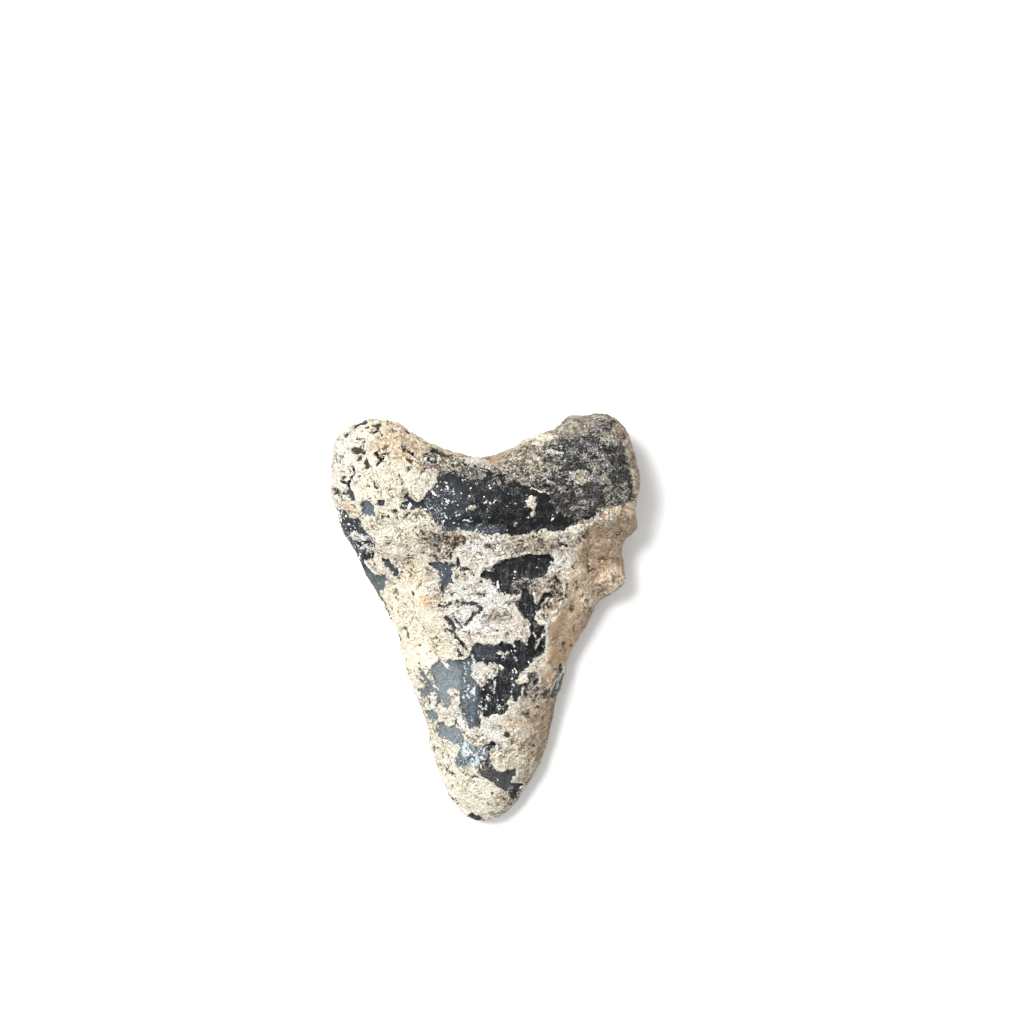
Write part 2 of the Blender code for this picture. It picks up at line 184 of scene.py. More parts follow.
# Where the crust has come away from the upper face and the dark tooth shows.
BARE_PATCHES = {
    "left margin": (
        (326, 508), (334, 509), (341, 510), (344, 510), (346, 513), (349, 517), (352.5, 520.5), (356, 518),
        (358, 517), (359, 520), (361.5, 527), (366, 533), (371, 537), (374, 541), (375, 545), (374, 550),
        (374, 555), (372, 559), (367, 561), (365, 562), (367, 567), (372, 572), (376, 574.5), (381, 577),
        (383, 574), (385, 576), (388, 579), (385, 584), (386, 588), (380, 590), (380, 595), (383, 599),
        (386, 604), (385, 607), (380, 606), (370, 596), (360, 580), (350, 560), (340, 545), (328, 525),
    ),
    "left margin, low": ((388, 611), (391, 618), (394, 623), (397, 630), (401, 641), (396, 641), (385, 615)),
    "left margin, upper chip": (
        (383, 559), (388, 558.5), (391.5, 563.5), (395, 568), (398.5, 572), (397.5, 575.5), (393, 573.5),
        (388.5, 569.5), (386, 564),
    ),
    "left lobe, blue spot": (
        (359, 505), (362, 502.5), (366, 501.5), (369.5, 502), (372.5, 504), (373, 508), (373, 511),
        (375.5, 514.5), (372, 515.5), (369, 515.5), (366, 517), (363, 513), (362, 509),
    ),
    "left lobe, dark spot": (
        (376, 504), (378, 501), (382, 499), (385, 501), (384, 505), (381, 507), (378, 507),
    ),
    "left lobe, grey spot": (
        (343, 491), (347, 488), (351, 490), (354, 495), (355, 500), (351, 501), (348, 497), (344, 494),
    ),
    "left lobe, rim spot": ((335, 488), (338, 489), (340, 492), (337, 494), (335, 491)),
    "root band": (
        (401, 491), (405, 488), (408, 490), (409, 496), (412, 500), (417, 503), (422, 501), (426, 494),
        (430, 491), (434, 488), (438, 483), (437, 478), (440, 473), (446, 471), (453, 471), (460, 472),
        (466, 473), (470, 476), (474, 478), (479, 475), (483, 471), (489, 471), (496, 472), (502, 473),
        (506, 476), (512, 477), (517, 481), (521, 484), (528, 485), (534, 483), (541, 482), (547, 479),
        (554, 478), (562, 482), (570, 486), (580, 488), (590, 486), (597, 490), (604, 497), (610, 503),
        (611, 507), (604, 508), (598, 512), (594, 518), (588, 520), (582, 519), (577, 523), (571, 527),
        (564, 530), (557, 532), (551, 531), (545, 529), (540, 529), (534, 532), (528, 534), (521, 536),
        (514, 536), (508, 535), (502, 535), (494, 535), (488, 534), (482, 533), (476, 532.5), (470, 531),
        (464, 531), (458, 529), (450, 532), (444, 530), (440, 527), (436, 522), (432, 517), (427, 511),
        (420, 509), (415, 507), (411, 509), (408, 509), (404, 508), (400, 507), (402, 503), (406, 501),
        (403, 496),
    ),
    "above the root band": ((471, 468), (477, 466), (483, 466), (489, 470), (485, 470), (478, 468)),
    "brow": (
        (481, 575), (483, 572), (486, 569), (490, 568), (494, 565), (500, 562), (507, 560), (513, 558),
        (519, 556), (523, 554), (530, 554), (537, 555), (544, 554), (549, 554), (553, 559), (552, 562),
        (549, 567), (548, 572), (545, 575), (540, 577), (535, 579), (530, 580), (525, 581), (521, 584),
        (520, 589), (519, 594), (515, 596), (510, 595), (503, 592), (498, 592), (495, 588), (492, 583),
        (490, 580), (486, 580), (482, 578),
    ),
    "channel": (
        (521, 582), (527, 582), (530, 590), (533, 596), (535, 602), (537, 604), (540, 602), (541, 598),
        (543, 594), (547, 592), (550, 593), (553, 596), (551, 598), (546, 599), (543, 601), (541, 606),
        (540, 610), (537, 612), (535, 616), (536, 621), (538, 624.5), (534, 625), (531, 624), (528, 620),
        (524, 618), (521, 612), (518, 608), (517, 603), (521, 598), (522, 592),
    ),
    "blade": (
        (474, 645), (478, 643), (484, 644), (490, 646), (496, 645), (501, 642), (507, 643), (512, 646),
        (515, 643), (520, 640), (525, 642), (527, 644), (529, 639), (531, 633), (530.5, 627), (532, 621),
        (536, 621), (540, 626), (545, 626), (545, 632), (541, 635), (538, 640), (536, 647), (539, 646),
        (543, 638), (546, 636), (545, 645), (545, 652), (542, 654), (538, 655), (535, 659), (532, 664),
        (528, 668), (524, 671), (520, 673), (518, 677), (517, 682), (520, 685), (525, 684), (530, 682),
        (530, 677), (528, 673), (533, 674), (538, 673), (539, 680), (536, 684), (530, 686), (523, 688),
        (521, 693), (519, 697), (515, 700), (511, 698), (508, 699), (505, 704), (509, 707), (506, 711),
        (502, 714), (498, 713), (493, 714), (489, 717), (485, 717), (482, 713), (478, 710), (479, 716),
        (480, 722), (480, 729), (477, 728), (474, 727), (471, 730), (469, 727), (467, 721), (464, 716),
        (461, 710), (460, 702), (461, 694), (460, 690), (455, 690), (450, 688), (446, 690), (449, 697),
        (451, 704), (447, 709), (443, 707), (440, 702), (438, 697), (434, 692), (430, 692), (427, 697),
        (423, 699), (421, 694), (424, 688), (428, 686), (425, 682), (421, 677), (421, 671), (424, 673),
        (427, 679), (432, 683), (436, 682), (433, 675), (430, 671), (432, 666), (436, 662), (441, 661),
        (446, 664), (450, 660), (456, 660), (462, 661), (468, 658), (471, 655), (472, 649),
    ),
    "blade, left chip": ((426, 711), (431, 710), (436, 713), (438, 718), (436, 721), (432, 721), (428, 717)),
    "blade, left scrap": ((418, 688), (423, 689), (424, 693), (421, 694), (418, 691)),
    "blade, grey tongue": (
        (438, 722), (443, 722), (447, 727), (454, 725), (459, 729), (462, 734), (464, 738), (465, 745),
        (461, 750), (458, 745), (456, 743), (450, 740), (445, 738), (439, 737), (437, 731),
    ),
    "blade, pale spot": (
        (461, 741), (466, 741), (470, 744), (473, 746), (477, 747), (480, 748), (484, 748), (488, 750),
        (489, 756), (486, 762), (482, 764), (480, 768), (476, 768), (474, 766), (470, 766), (468, 764),
        (466, 768), (464, 770), (461, 767), (457, 766), (456, 763), (457, 757), (458, 752), (460, 748),
        (460, 744),
    ),
    "chin": (
        (484, 746), (488, 744), (491, 742), (495, 742), (494, 746), (490, 748), (489, 753), (489, 759),
        (490, 764), (493, 769), (497, 772), (503, 772), (508, 770), (513, 770), (516, 769), (515, 775),
        (512, 779), (511, 783), (515, 784), (521, 782), (523, 783), (519, 788), (517, 794), (514, 800),
        (510, 797), (507, 792), (503, 789), (498, 787), (493, 783), (488, 779), (484, 776), (479, 772),
        (478, 769), (481, 766), (482, 760), (487, 759), (487, 752), (484, 748),
    ),
    "tip": ((467, 818), (472, 813), (476, 815), (479, 815), (484, 820), (480, 823), (478, 830), (468, 830)),
    "right margin": (
        (560, 664), (562, 663), (563, 668), (562, 674), (566, 675), (564, 681), (561, 687), (559, 693),
        (557, 699), (552, 697), (549, 699), (543, 697), (542, 694), (547, 690), (551, 688), (554, 683),
        (557, 677), (558, 671),
    ),
    "upper blade, grey patch": (
        (429, 563), (436, 562), (441, 563), (447, 563), (452, 564), (452, 575), (452, 583), (447, 585),
        (445, 588), (445, 593), (442, 595), (440, 591), (440, 585), (440, 578), (438, 572), (432, 568),
    ),
    "upper blade, wedge": ((446, 607), (448, 602), (453, 601), (452, 605)),
}

# Crust left standing inside those patches.
CRUST_ISLANDS = {
    "left margin, white": (
        (351, 532), (355, 531), (358, 534), (363, 536), (368, 538), (366, 541), (360, 541), (354, 541),
        (350, 537),
    ),
    "left margin, second white": (
        (361, 543), (365, 543), (369, 546), (372, 550), (371, 553), (367, 551), (364, 548),
    ),
    "root band, largest": (
        (526, 503), (529, 498), (532, 495), (536, 498), (537, 505), (535, 511), (530, 508),
    ),
    "root band, below the largest": ((531, 510), (535, 511), (535, 516), (532, 518), (528, 519), (530, 515)),
    "root band, oval": oval(472, 508, 4.4, 2.4),
    "root band, speck": oval(516, 524.5, 2.2, 1.3),
    "root band, upper speck": oval(494, 484.5, 1.4, 1.4),
    "blade, block": (
        (470, 676), (473, 671), (471, 667), (474, 661), (478, 663), (483, 662), (487, 666), (491, 663),
        (496, 664), (499, 670), (497, 676), (492, 680), (488, 679), (486, 684), (482, 688), (477, 684),
        (474, 680),
    ),
    "blade, right block": (
        (518, 677), (520, 673), (524, 672), (527, 675), (527, 679), (523, 682), (519, 681),
    ),
    "blade, rim strip": ((535, 648), (538, 641), (541, 637), (538, 645), (536, 650)),
    "blade, white oval": oval(488, 699, 2.2, 3.2),
    "blade, speck": oval(488, 683, 1.3, 1.5),
    "blade, lower speck": oval(491.5, 687, 1.0, 1.0),
    "blade, upper left speck": oval(500, 653.5, 2.4, 1.3),
    "blade, upper right speck": oval(507, 653.5, 2.0, 1.0),
    "blade, wedge": ((444, 665), (448, 666), (450, 670), (446, 669)),
    "blade, right specks": oval(502, 669, 1.5, 1.5),
}

# Light streaks across the dark patches, as (points, half width).
LIGHT_STREAKS = {
    "root band": (((482, 503), (488, 502), (492, 504), (496, 500), (499, 501)), 1.0),
    "brow, left": (((486, 569), (489, 570), (493, 571)), 0.9),
    "brow, left leg": (((491, 581), (497, 588)), 0.7),
    "upper blade": (((441, 572), (442, 576)), 0.5),
    "brow, right leg": (((498, 588), (505, 582)), 0.7),
    "blade, left": (((464, 663), (465, 672), (464, 683)), 0.6),
    "blade, left low": (((472, 655), (474, 662), (475, 672)), 0.7),
    "blade, middle": (((495, 680), (494, 690)), 0.6),
    "blade, right": (((510.5, 690), (511, 699)), 0.4),
    "blade, far right": (((513, 653), (517, 662)), 0.5),
    "blade, squiggle": (((466, 684), (469, 690), (466, 695), (471, 701)), 0.5),
    "right margin, outer": (((564, 665), (563, 672), (560, 682), (557, 692)), 0.8),
    "right margin, inner": (((557, 680), (553, 689), (550, 696)), 0.6),
}

# Light rings on the dark tooth, as (x, y), radius.
RINGS = {
    "blade, first": ((484, 708), 2.6),
    "blade, second": ((500, 709), 2.8),
    "blade, third": ((494, 692), 2.0),
    "blade, upper": ((503, 658), 2.2),
}
RING_HALF_WIDTH = 0.6

# Narrow dark lines in the crust, as (points, half width).
DARK_LINES = {
    "curl": ((
        (457, 601), (461, 603), (468, 604), (474, 603), (477, 606), (481, 608), (479, 612), (475, 613),
    ), 1.4),
    "curl's tail": (((474, 612), (472, 617), (470, 620), (466, 624)), 1.3),
    "dash by the wedge": (((439, 606), (444, 607), (448, 605)), 0.8),
    "left leg": (((446, 618), (451, 623), (454, 629)), 2.0),
    "left leg's twin": (((455, 619), (459, 624), (462, 628)), 0.9),
    "left foot": (((447, 630), (453, 632), (457, 638), (462, 644), (466, 648)), 1.7),
    "toe": (((457, 650), (461, 655), (463, 656)), 1.0),
    "upper hook": (((451, 563), (455, 566), (459, 566), (458, 558)), 1.1),
    "arc": (((461, 569), (466, 568), (471, 571), (473, 575)), 0.9),
    "by the tip": (((452, 798), (455, 800), (458, 803)), 0.7),
    "slit in the right lobe": (((560, 543), (567, 546)), 0.8),
    "left lobe, crack": (((370, 477), (374, 483), (377, 488)), 0.6),
    "left lobe, worm": (((352, 467), (354, 470), (354, 474), (351, 478), (348, 484), (349, 488)), 0.9),
    "left lobe, worm's branch": (((341, 481), (346, 483), (348, 483)), 0.9),
    "left lobe, brown worm": (((402, 446), (406, 447), (409, 452), (415, 456)), 1.0),
    "left lobe, top crack": (((378, 429), (377, 431), (374, 433), (371, 433)), 0.8),
    "left lobe, top crack's branch": (((378, 430), (381, 431), (382, 434)), 0.8),
    "left lobe, dash": (((388, 422), (394, 424)), 0.8),
    "left lobe, lower dash": (((391, 431), (397, 431)), 0.6),
    "left lobe, left dash": (((357, 439), (364, 438)), 0.6),
    "left lobe, cleft": (((379, 451), (384, 449)), 1.2),
    "left lobe, cleft below": (((382, 454), (388, 453)), 1.2),
    "left lobe, slanting cleft": (((376, 454), (379, 457), (383, 459)), 1.4),
    "left lobe, short cleft": (((377, 465), (381, 461)), 1.5),
    "left lobe, right dash": (((383, 517), (389, 517)), 0.8),
    "below the lobe, dash": (((473, 777), (478, 777)), 0.8),
    "below the lobe, upper dash": (((480, 594), (484, 594)), 0.8),
    "above the band, loop": (((424, 455), (428, 454), (430, 457), (427, 461), (424, 459), (424, 455)), 0.8),
    "above the band, hook": (((431, 456), (436, 457), (436, 461), (432, 462)), 0.9),
    "above the band, streak": (((462, 462), (466, 464), (470, 466)), 1.0),
    "arc, filled": (((461, 570), (468, 570)), 0.9),
}

# Pits sunk in the crust.
PITS = {
    "above the band": (
        (430, 452), (432, 449), (437, 448.5), (441, 451), (445, 453), (451, 456), (446, 456.5), (437, 454),
    ),
    "teardrop": ((367, 457), (368, 462), (369.5, 465), (368, 469), (364, 469), (363.5, 464)),
    "blob": (
        (351, 449), (354, 447), (359, 448), (363, 450), (366, 452), (363, 455), (360, 453), (356, 454),
        (353, 452),
    ),
    "below the blob": oval(359, 458.5, 2.2, 3.0),
    "small": oval(364, 441, 1.1, 1.4),
    "smaller": oval(363, 445, 0.9, 1.0),
    "left": ((343.5, 434), (347, 432), (348.5, 434.5), (345, 437)),
    "top": ((353, 426), (357, 423), (362, 421), (368, 421), (366, 424), (360, 425), (355, 427)),
    "top dash": oval(367.5, 427, 2.6, 1.3),
    "top right": ((371, 423), (376, 424), (380, 422), (382, 425), (379, 429), (376, 428), (373, 426)),
    "ring": oval(409, 431, 3.0, 1.9),
    "dot": oval(398, 427, 1.1, 0.9),
    "worm's head": oval(404, 449, 1.6, 2.4),
    "left spot": ((341, 476), (346, 476), (345, 479), (342, 480)),
    "small ring": oval(395, 511, 2.4, 2.2),
    "right of the ring": oval(406, 516, 2.4, 1.3),
    "below the ring": oval(397, 518, 0.9, 1.6),
    "round": oval(507, 735, 3.0, 2.8),
    "centre": oval(497, 631, 1.7, 1.1),
    "below the brow": oval(481.5, 581.5, 1.6, 1.4),
    "arc's dot": oval(463.5, 571.5, 1.2, 1.2),
    "arc's lower dot": oval(465, 574, 1.0, 1.0),
    "left of the centre": oval(436, 638, 1.0, 1.9),
    "left of the centre, lower": oval(436, 646, 0.9, 0.9),
    "left blade, lower": oval(430, 652, 0.9, 0.9),
    "left blade, lowest": oval(419, 663, 0.9, 0.9),
    "neck": oval(408, 556, 1.2, 0.9),
    "neck, lower": oval(411, 570, 1.4, 0.8),
    "neck, lowest": oval(413, 593, 0.8, 0.8),
    "left edge": oval(397, 595, 0.8, 1.2),
    "lower blade": oval(446, 768, 0.9, 0.9),
    "lower blade, right": oval(453, 774, 1.6, 0.9),
    "tip's spot": oval(485, 800, 0.9, 0.9),
    "tip's right spot": oval(492, 793, 0.9, 0.9),
    "band's left": oval(459, 657, 0.9, 0.9),
    "tongue's left": oval(437, 748, 0.8, 0.8),
    "blade's middle": oval(456, 722, 1.0, 3.0),
    "blade's middle, low": oval(464, 733, 0.9, 1.4),
    "star": oval(525.5, 694, 1.6, 1.6),
    "right blade": oval(538, 707, 1.6, 1.0),
    "right blade, low": oval(534.5, 746, 1.0, 1.0),
}

# Raised crust on the upper face, as (points, (height, half width)), both in millimetres.
CRUST_RIDGES = {
    "under the root band": ((
        (385, 540), (427, 534), (460, 537), (512, 541), (545, 537), (580, 528), (613, 515),
    ), (0.25, 1.0)),
    "rim of the right flank": ((
        (564, 578), (565, 594), (557, 611), (548, 618), (547, 650), (536, 664), (541, 682), (546, 689),
    ), (0.3, 0.28)),
    "light thread": (((541, 449), (550, 449), (559, 451), (564, 454)), (0.2, 0.3)),
    "light fork": (((571, 473), (573, 480), (583, 486)), (0.2, 0.3)),
    "light fork's arm": (((573, 475), (580, 470), (590, 466)), (0.15, 0.3)),
    "barnacle ring": (((404, 623), (407.5, 625), (408.5, 630), (407.5, 636), (404, 639)), (0.25, 0.35)),
}

# Small marks painted over the rest, as (colour, half width, lines).
PAINTED_LINES = (
    (WHITE, 0.8, (
        ((564, 577), (563.5, 583), (564, 590)), ((562, 600), (559, 607), (556, 612), (552, 613.5)),
        ((533.5, 632), (536.5, 637)), ((522, 640.5), (527.5, 645)), ((529, 662), (531, 665)),
        ((437, 495), (439, 496)), ((497.5, 581), (498, 588)), ((547, 475), (549, 472)),
        ((546, 467), (548, 469)), ((546, 479), (548.5, 481), (546.5, 484)),
        ((569, 472), (573, 474), (572, 479), (575, 481), (581, 484)), ((551, 521), (553, 519)),
        ((514.5, 571), (515, 575)), ((536, 568), (538, 567.5)), ((553, 540), (557, 543)),
        ((605, 511), (609, 516)), ((605.5, 523), (604.5, 525), (606.5, 526.5)), ((574, 532), (577, 533)),
        ((337, 511), (338, 516), (339.5, 521)), ((341, 511.5), (341, 514)), ((343, 518.5), (345, 516.5)),
        ((347, 525), (349, 525)), ((346, 538), (349.5, 536)), ((358, 559), (359, 555)),
        ((364, 560.5), (366, 565)), ((402, 505), (404.5, 505.5)), ((474.5, 687), (474, 696)),
        ((390, 456), (396, 456.5)), ((513, 670.5), (513.5, 673)), ((516.5, 671.5), (516.5, 673)),
        ((473, 533), (477, 530)), ((465, 520.5), (470, 522)), ((423, 457), (426, 460)),
        ((432, 459.5), (434.5, 459)), ((565, 582), (564.5, 590)), ((555.5, 583), (556.5, 586)),
    )),
    (WHITE, 1.1, (
        ((549, 618), (547.5, 625), (546.5, 632), (547, 640), (546.5, 652)),
        ((545, 655), (540, 658), (534, 663), (528, 669)), ((512.5, 642), (514.5, 647)),
        ((534, 592), (535, 598), (536, 603)), ((570, 531), (573, 528), (576, 530), (579, 531)),
        ((606, 517), (608, 519)), ((495, 535), (499, 534)), ((442, 662), (446, 665), (449, 669)),
        ((517.5, 769), (517.5, 780)), ((500, 666), (503, 669)), ((500, 653), (503, 655)),
        ((353, 536), (358, 535.5)), ((354, 539), (362, 537.5)), ((538.5, 668), (539.5, 678), (540, 686)),
        ((610.5, 509), (611.5, 515), (611, 519)), ((344, 498), (349, 499)),
        ((590, 597), (592, 601), (590, 605)), ((584, 597), (583, 601), (586, 605)),
    )),
    (WHITE, 1.4, (
        ((408.5, 508), (410, 505), (410, 503.5)), ((367.5, 566), (372.5, 571.5)), ((432, 491), (434, 494)),
        ((431, 552), (434, 551)), ((424, 557), (428, 558)), ((433, 696), (436, 701), (434, 706), (430, 709)),
        ((427, 703), (427, 708)),
    )),
    (CREAM, 1.2, (
        ((541, 452), (547, 450.5), (556, 452.5), (563, 454)), ((531, 443), (536, 442.5), (543, 444.5)),
        ((545, 436), (550, 434), (553, 437)), ((533, 457), (538, 460)), ((508, 552), (512, 554)),
        ((625, 580), (615, 588), (606, 594)), ((512, 782), (524, 783)),
    )),
    (GREY_BEIGE, 0.9, (
        ((514, 475), (517, 478), (519, 480)), ((520, 482), (524, 484), (529, 483)),
        ((521, 479), (527, 477.5)), ((531, 488), (535, 488.5), (540, 492), (545, 492)),
        ((551, 482), (555, 484)), ((588, 468), (592, 466)), ((597, 510), (603, 510)),
        ((567, 493), (571, 491)), ((603, 474), (606, 477), (608, 480)), ((558, 678), (554, 686), (551, 695)),
        ((565, 665), (563, 672), (561, 680)), ((538, 721), (534, 729), (531, 738)), ((593, 502), (592, 506)),
        ((582, 456), (584, 454)), ((610, 440), (614, 443)),
    )),
    (MIXED_LIGHT, 2.0, (
        ((577, 477), (582, 474)), ((604, 434), (608, 433)), ((614, 428), (617, 429)),
        ((596, 466), (599, 467)), ((402, 494), (406, 491)),
    )),
    (PINK_GREY, 1.9, (
        ((607, 461), (609, 465)), ((602.5, 514), (603, 517)), ((433, 541), (437, 542)),
        ((498, 480), (499, 482)), ((613, 577), (613.5, 581)),
    )),
    (YELLOW_BROWN, 0.8, (
        ((622, 502), (626, 505.5), (629, 509), (634, 510)), ((624, 511), (626, 515), (625, 518)),
        ((607, 480), (611, 484)), ((522, 459), (530, 459), (533, 463), (538, 466)),
        ((594, 572), (592, 585), (593, 595)), ((449, 710), (450, 716), (453, 722)),
        ((388, 457.5), (395, 458.5), (400, 457.5), (402, 459.5), (405, 464)),
        ((393, 438.5), (397, 437), (400, 435.5), (403, 437.5), (404.5, 440)),
        ((390, 452), (393, 454), (400, 454)),
    )),
    (HOLLOW_BROWN, 0.7, (
        ((596, 523), (592, 526), (588, 530), (586, 533)), ((589, 526), (583, 531), (580, 533)),
        ((606, 558), (612, 558), (617, 560)), ((553, 433), (553.5, 437), (557, 439)),
        ((591, 463), (595, 466), (598, 472)), ((598, 472), (602, 467), (600, 464)), ((511, 614), (512, 619)),
        ((506, 635), (508, 632)), ((371.5, 526), (373.5, 529.5)),
        ((518, 600), (518, 606), (521, 613), (526, 619)), ((455, 718), (457, 723), (461, 727), (463, 733)),
        ((536, 715), (537, 721)), ((509, 543), (510, 547)), ((376, 482), (379, 486)),
        ((381, 490), (381.5, 495)), ((410, 519.5), (411.5, 522.5)), ((430, 521), (432.5, 525), (434, 527)),
        ((388, 491), (390, 489)), ((472, 778), (475, 775)), ((474, 781), (476, 785)),
        ((487, 802), (490, 805)), ((490, 813), (494, 811)),
    )),
    (DEEP_BROWN, 0.8, (
        ((352, 504.5), (355, 507)), ((386, 536), (390, 538.5)), ((421.5, 581), (420, 585), (417, 587.5)),
        ((396, 597), (398.5, 600)), ((395.5, 593), (397.5, 594.5), (399, 592)), ((373.5, 561), (375, 565)),
        ((404.5, 516), (405.5, 519)), ((407.5, 514), (407, 516)),
        ((402, 629), (404.5, 626.5), (407, 628), (408.5, 632), (408.5, 638)),
    )),
    (DEEP_BROWN, 0.9, (
        ((420, 532), (422.5, 535)), ((416.5, 533), (419, 536)), ((424.5, 533), (426, 535)),
        ((428, 542.5), (430, 544)), ((455, 537), (455.5, 541)), ((454, 547), (453, 549)),
        ((464.5, 537), (465.5, 540)), ((463, 541), (464, 544)), ((434, 544), (436, 546.5), (438, 545)),
        ((431, 554), (434, 556), (435, 558)), ((404, 559.5), (408, 558.5)), ((406, 564), (408, 563)),
        ((520, 541), (524, 541.5)), ((559, 545), (561, 546)), ((543.5, 616), (544.5, 619.5)),
        ((617, 532), (616.5, 537)), ((624, 435), (625.5, 439)), ((578, 537), (580, 541)),
        ((583, 536), (587, 538)), ((521, 471), (524, 473)), ((521.5, 451), (521.5, 455)),
        ((391, 510), (394, 513.5), (397, 514)), ((403, 518), (407, 515.5)), ((396.5, 515.5), (397.5, 519.5)),
        ((399.5, 474.5), (399.5, 477)), ((401, 572), (403, 572)), ((408, 571), (411, 575), (410, 577)),
        ((447, 770), (449, 766)), ((434, 747), (435, 751)), ((429.5, 699), (430.5, 704.5)),
        ((433, 692.5), (437, 697), (439.5, 702)), ((525, 691), (527, 695)), ((342, 496), (343, 500)),
        ((563, 594), (561, 596)), ((586, 599.7), (588.5, 600)), ((552, 585), (555, 589)),
        ((557, 579), (559, 583)),
    )),
    (FIBRE_GREY, 0.5, (
        ((463, 521), (469, 522)), ((443, 497), (446, 500), (450, 502)), ((442, 521), (444, 527)),
        ((466, 508), (467, 512)), ((437, 522), (439, 526)), ((471, 518), (472, 522)),
        ((444, 513), (446, 517)),
    )),
    (PALE_MINT, 2.0, (
        ((465, 741), (464, 748), (463, 753), (465, 757)), ((477, 757), (478, 762), (477, 765)),
    )),
    (PALE_MINT, 0.8, (
        ((431, 685), (436, 688), (439, 691)), ((466, 745), (468, 750)), ((472, 759), (474, 762), (472, 764)),
    )),
    (WHITE, 1.0, (
        ((466, 752), (468, 754)), ((470.5, 752.5), (472.5, 753.5)), ((474, 755.5), (474.5, 756.5)),
        ((481, 757.5), (484, 760)), ((481, 766), (482, 769)), ((484.5, 751), (484.5, 753)),
        ((482, 748), (482, 749.5)), ((473.5, 766), (474, 767)), ((441, 661), (445, 664)),
    )),
    (WHITE, 1.5, (((434, 693), (431.5, 697), (432.5, 702), (430, 706.5), (426, 709)),)),
    (LEAD, 1.0, (((437, 694), (438.5, 698), (437.5, 704), (434.5, 708.5)), ((423, 683), (421, 679)))),
    (PALE_GREY, 0.6, (
        ((463, 687), (465, 685), (468, 686), (469, 690), (467, 693), (464, 691)),
        ((468, 690), (472, 694), (474, 699)), ((462, 698), (465, 695), (467, 698)),
    )),
    (DARK_BLUE, 1.0, (
        ((474, 757), (475.5, 758.5)), ((472, 756.5), (472, 757.5)), ((461.5, 760), (461, 765)),
        ((464, 761), (465, 765)), ((467.5, 758), (468, 762)), ((470, 758), (470.5, 759)),
        ((476, 748), (476.5, 749.5)), ((471, 749), (471.5, 751)),
    )),
    (PIT_BLACK, 1.2, (((489, 748), (488.5, 757), (486.5, 762), (487, 768)), ((483, 767), (483.5, 769)))),
    (LEAD, 0.8, (
        ((426, 666), (430, 671), (434, 677), (437, 681)), ((420, 668), (423, 675), (426, 680), (428, 684)),
        ((430, 671), (427, 675)), ((459, 753), (459, 762)),
    )),
    (PALE_GREY, 0.8, (((366, 537), (370, 541)), ((358, 550), (361, 548), (363, 550)))),
    (DUST_GREY, 0.9, (
        ((352, 544), (356, 543)), ((359, 550), (361, 552)), ((466, 525), (470, 527)),
        ((490, 526), (493, 528)),
    )),
    (PIT_BLACK, 0.8, (
        ((343, 527), (348, 530), (351, 533)), ((345, 535), (344, 540)), ((364, 541), (366, 543.5)),
        ((374, 540.5), (374.5, 543.5)), ((401.5, 491.5), (403.5, 489.5)), ((405, 487.5), (407.5, 488.5)),
        ((400, 507.5), (403, 508.5), (407, 507.5)), ((383, 560), (388, 561)), ((396.5, 574), (398, 578)),
        ((422.5, 626), (425, 629.5)), ((407.5, 494), (404, 497.5)),
    )),
    (PIT_BLACK, 1.1, (
        ((590, 433), (595, 432)), ((583, 437), (592, 437.5)), ((611, 421), (612, 426), (611, 429)),
        ((613, 421), (616, 423)), ((604, 450), (611, 451)), ((363.5, 454), (365.5, 451)),
        ((412.5, 592), (413.5, 595)), ((358, 532), (359, 532)), ((434, 535), (436, 539)),
        ((438.5, 536), (440, 539)), ((454.5, 537), (455.5, 541.5)), ((455.5, 544), (454, 549)),
        ((463, 537), (465.5, 540)), ((464, 542), (463.5, 544)), ((446, 537), (447, 539)),
        ((434, 544), (436, 547), (438, 545)), ((421, 530), (424, 534)), ((430, 531), (433, 533)),
        ((443, 557), (446, 559)), ((435, 555), (437, 559)), ((440.5, 561), (441.5, 564)),
        ((446, 562), (448, 563.5)), ((436, 560), (439, 561.5)), ((450.5, 552), (451, 558)),
        ((451, 566), (456, 565.5)), ((457.5, 559), (457, 563)), ((556, 579), (559.5, 582.5)),
        ((554.5, 585), (555.5, 588)), ((551.5, 591), (552.5, 594)), ((556, 591.5), (558, 593)),
        ((565.5, 595), (566.5, 597)), ((562, 599), (559, 600.5)), ((567, 583), (566.5, 587)),
        ((548, 606), (549, 608)), ((543.5, 614), (544.5, 620)), ((533, 614), (535, 612)),
        ((524, 685), (527, 688)), ((537, 687), (538.5, 690)), ((533.5, 682), (536, 684)),
        ((528, 676), (530, 679)), ((515, 697), (516, 700)), ((386, 452), (388, 455)),
        ((383, 449), (386, 447.5)), ((441, 587), (442, 591)),
    )),
)

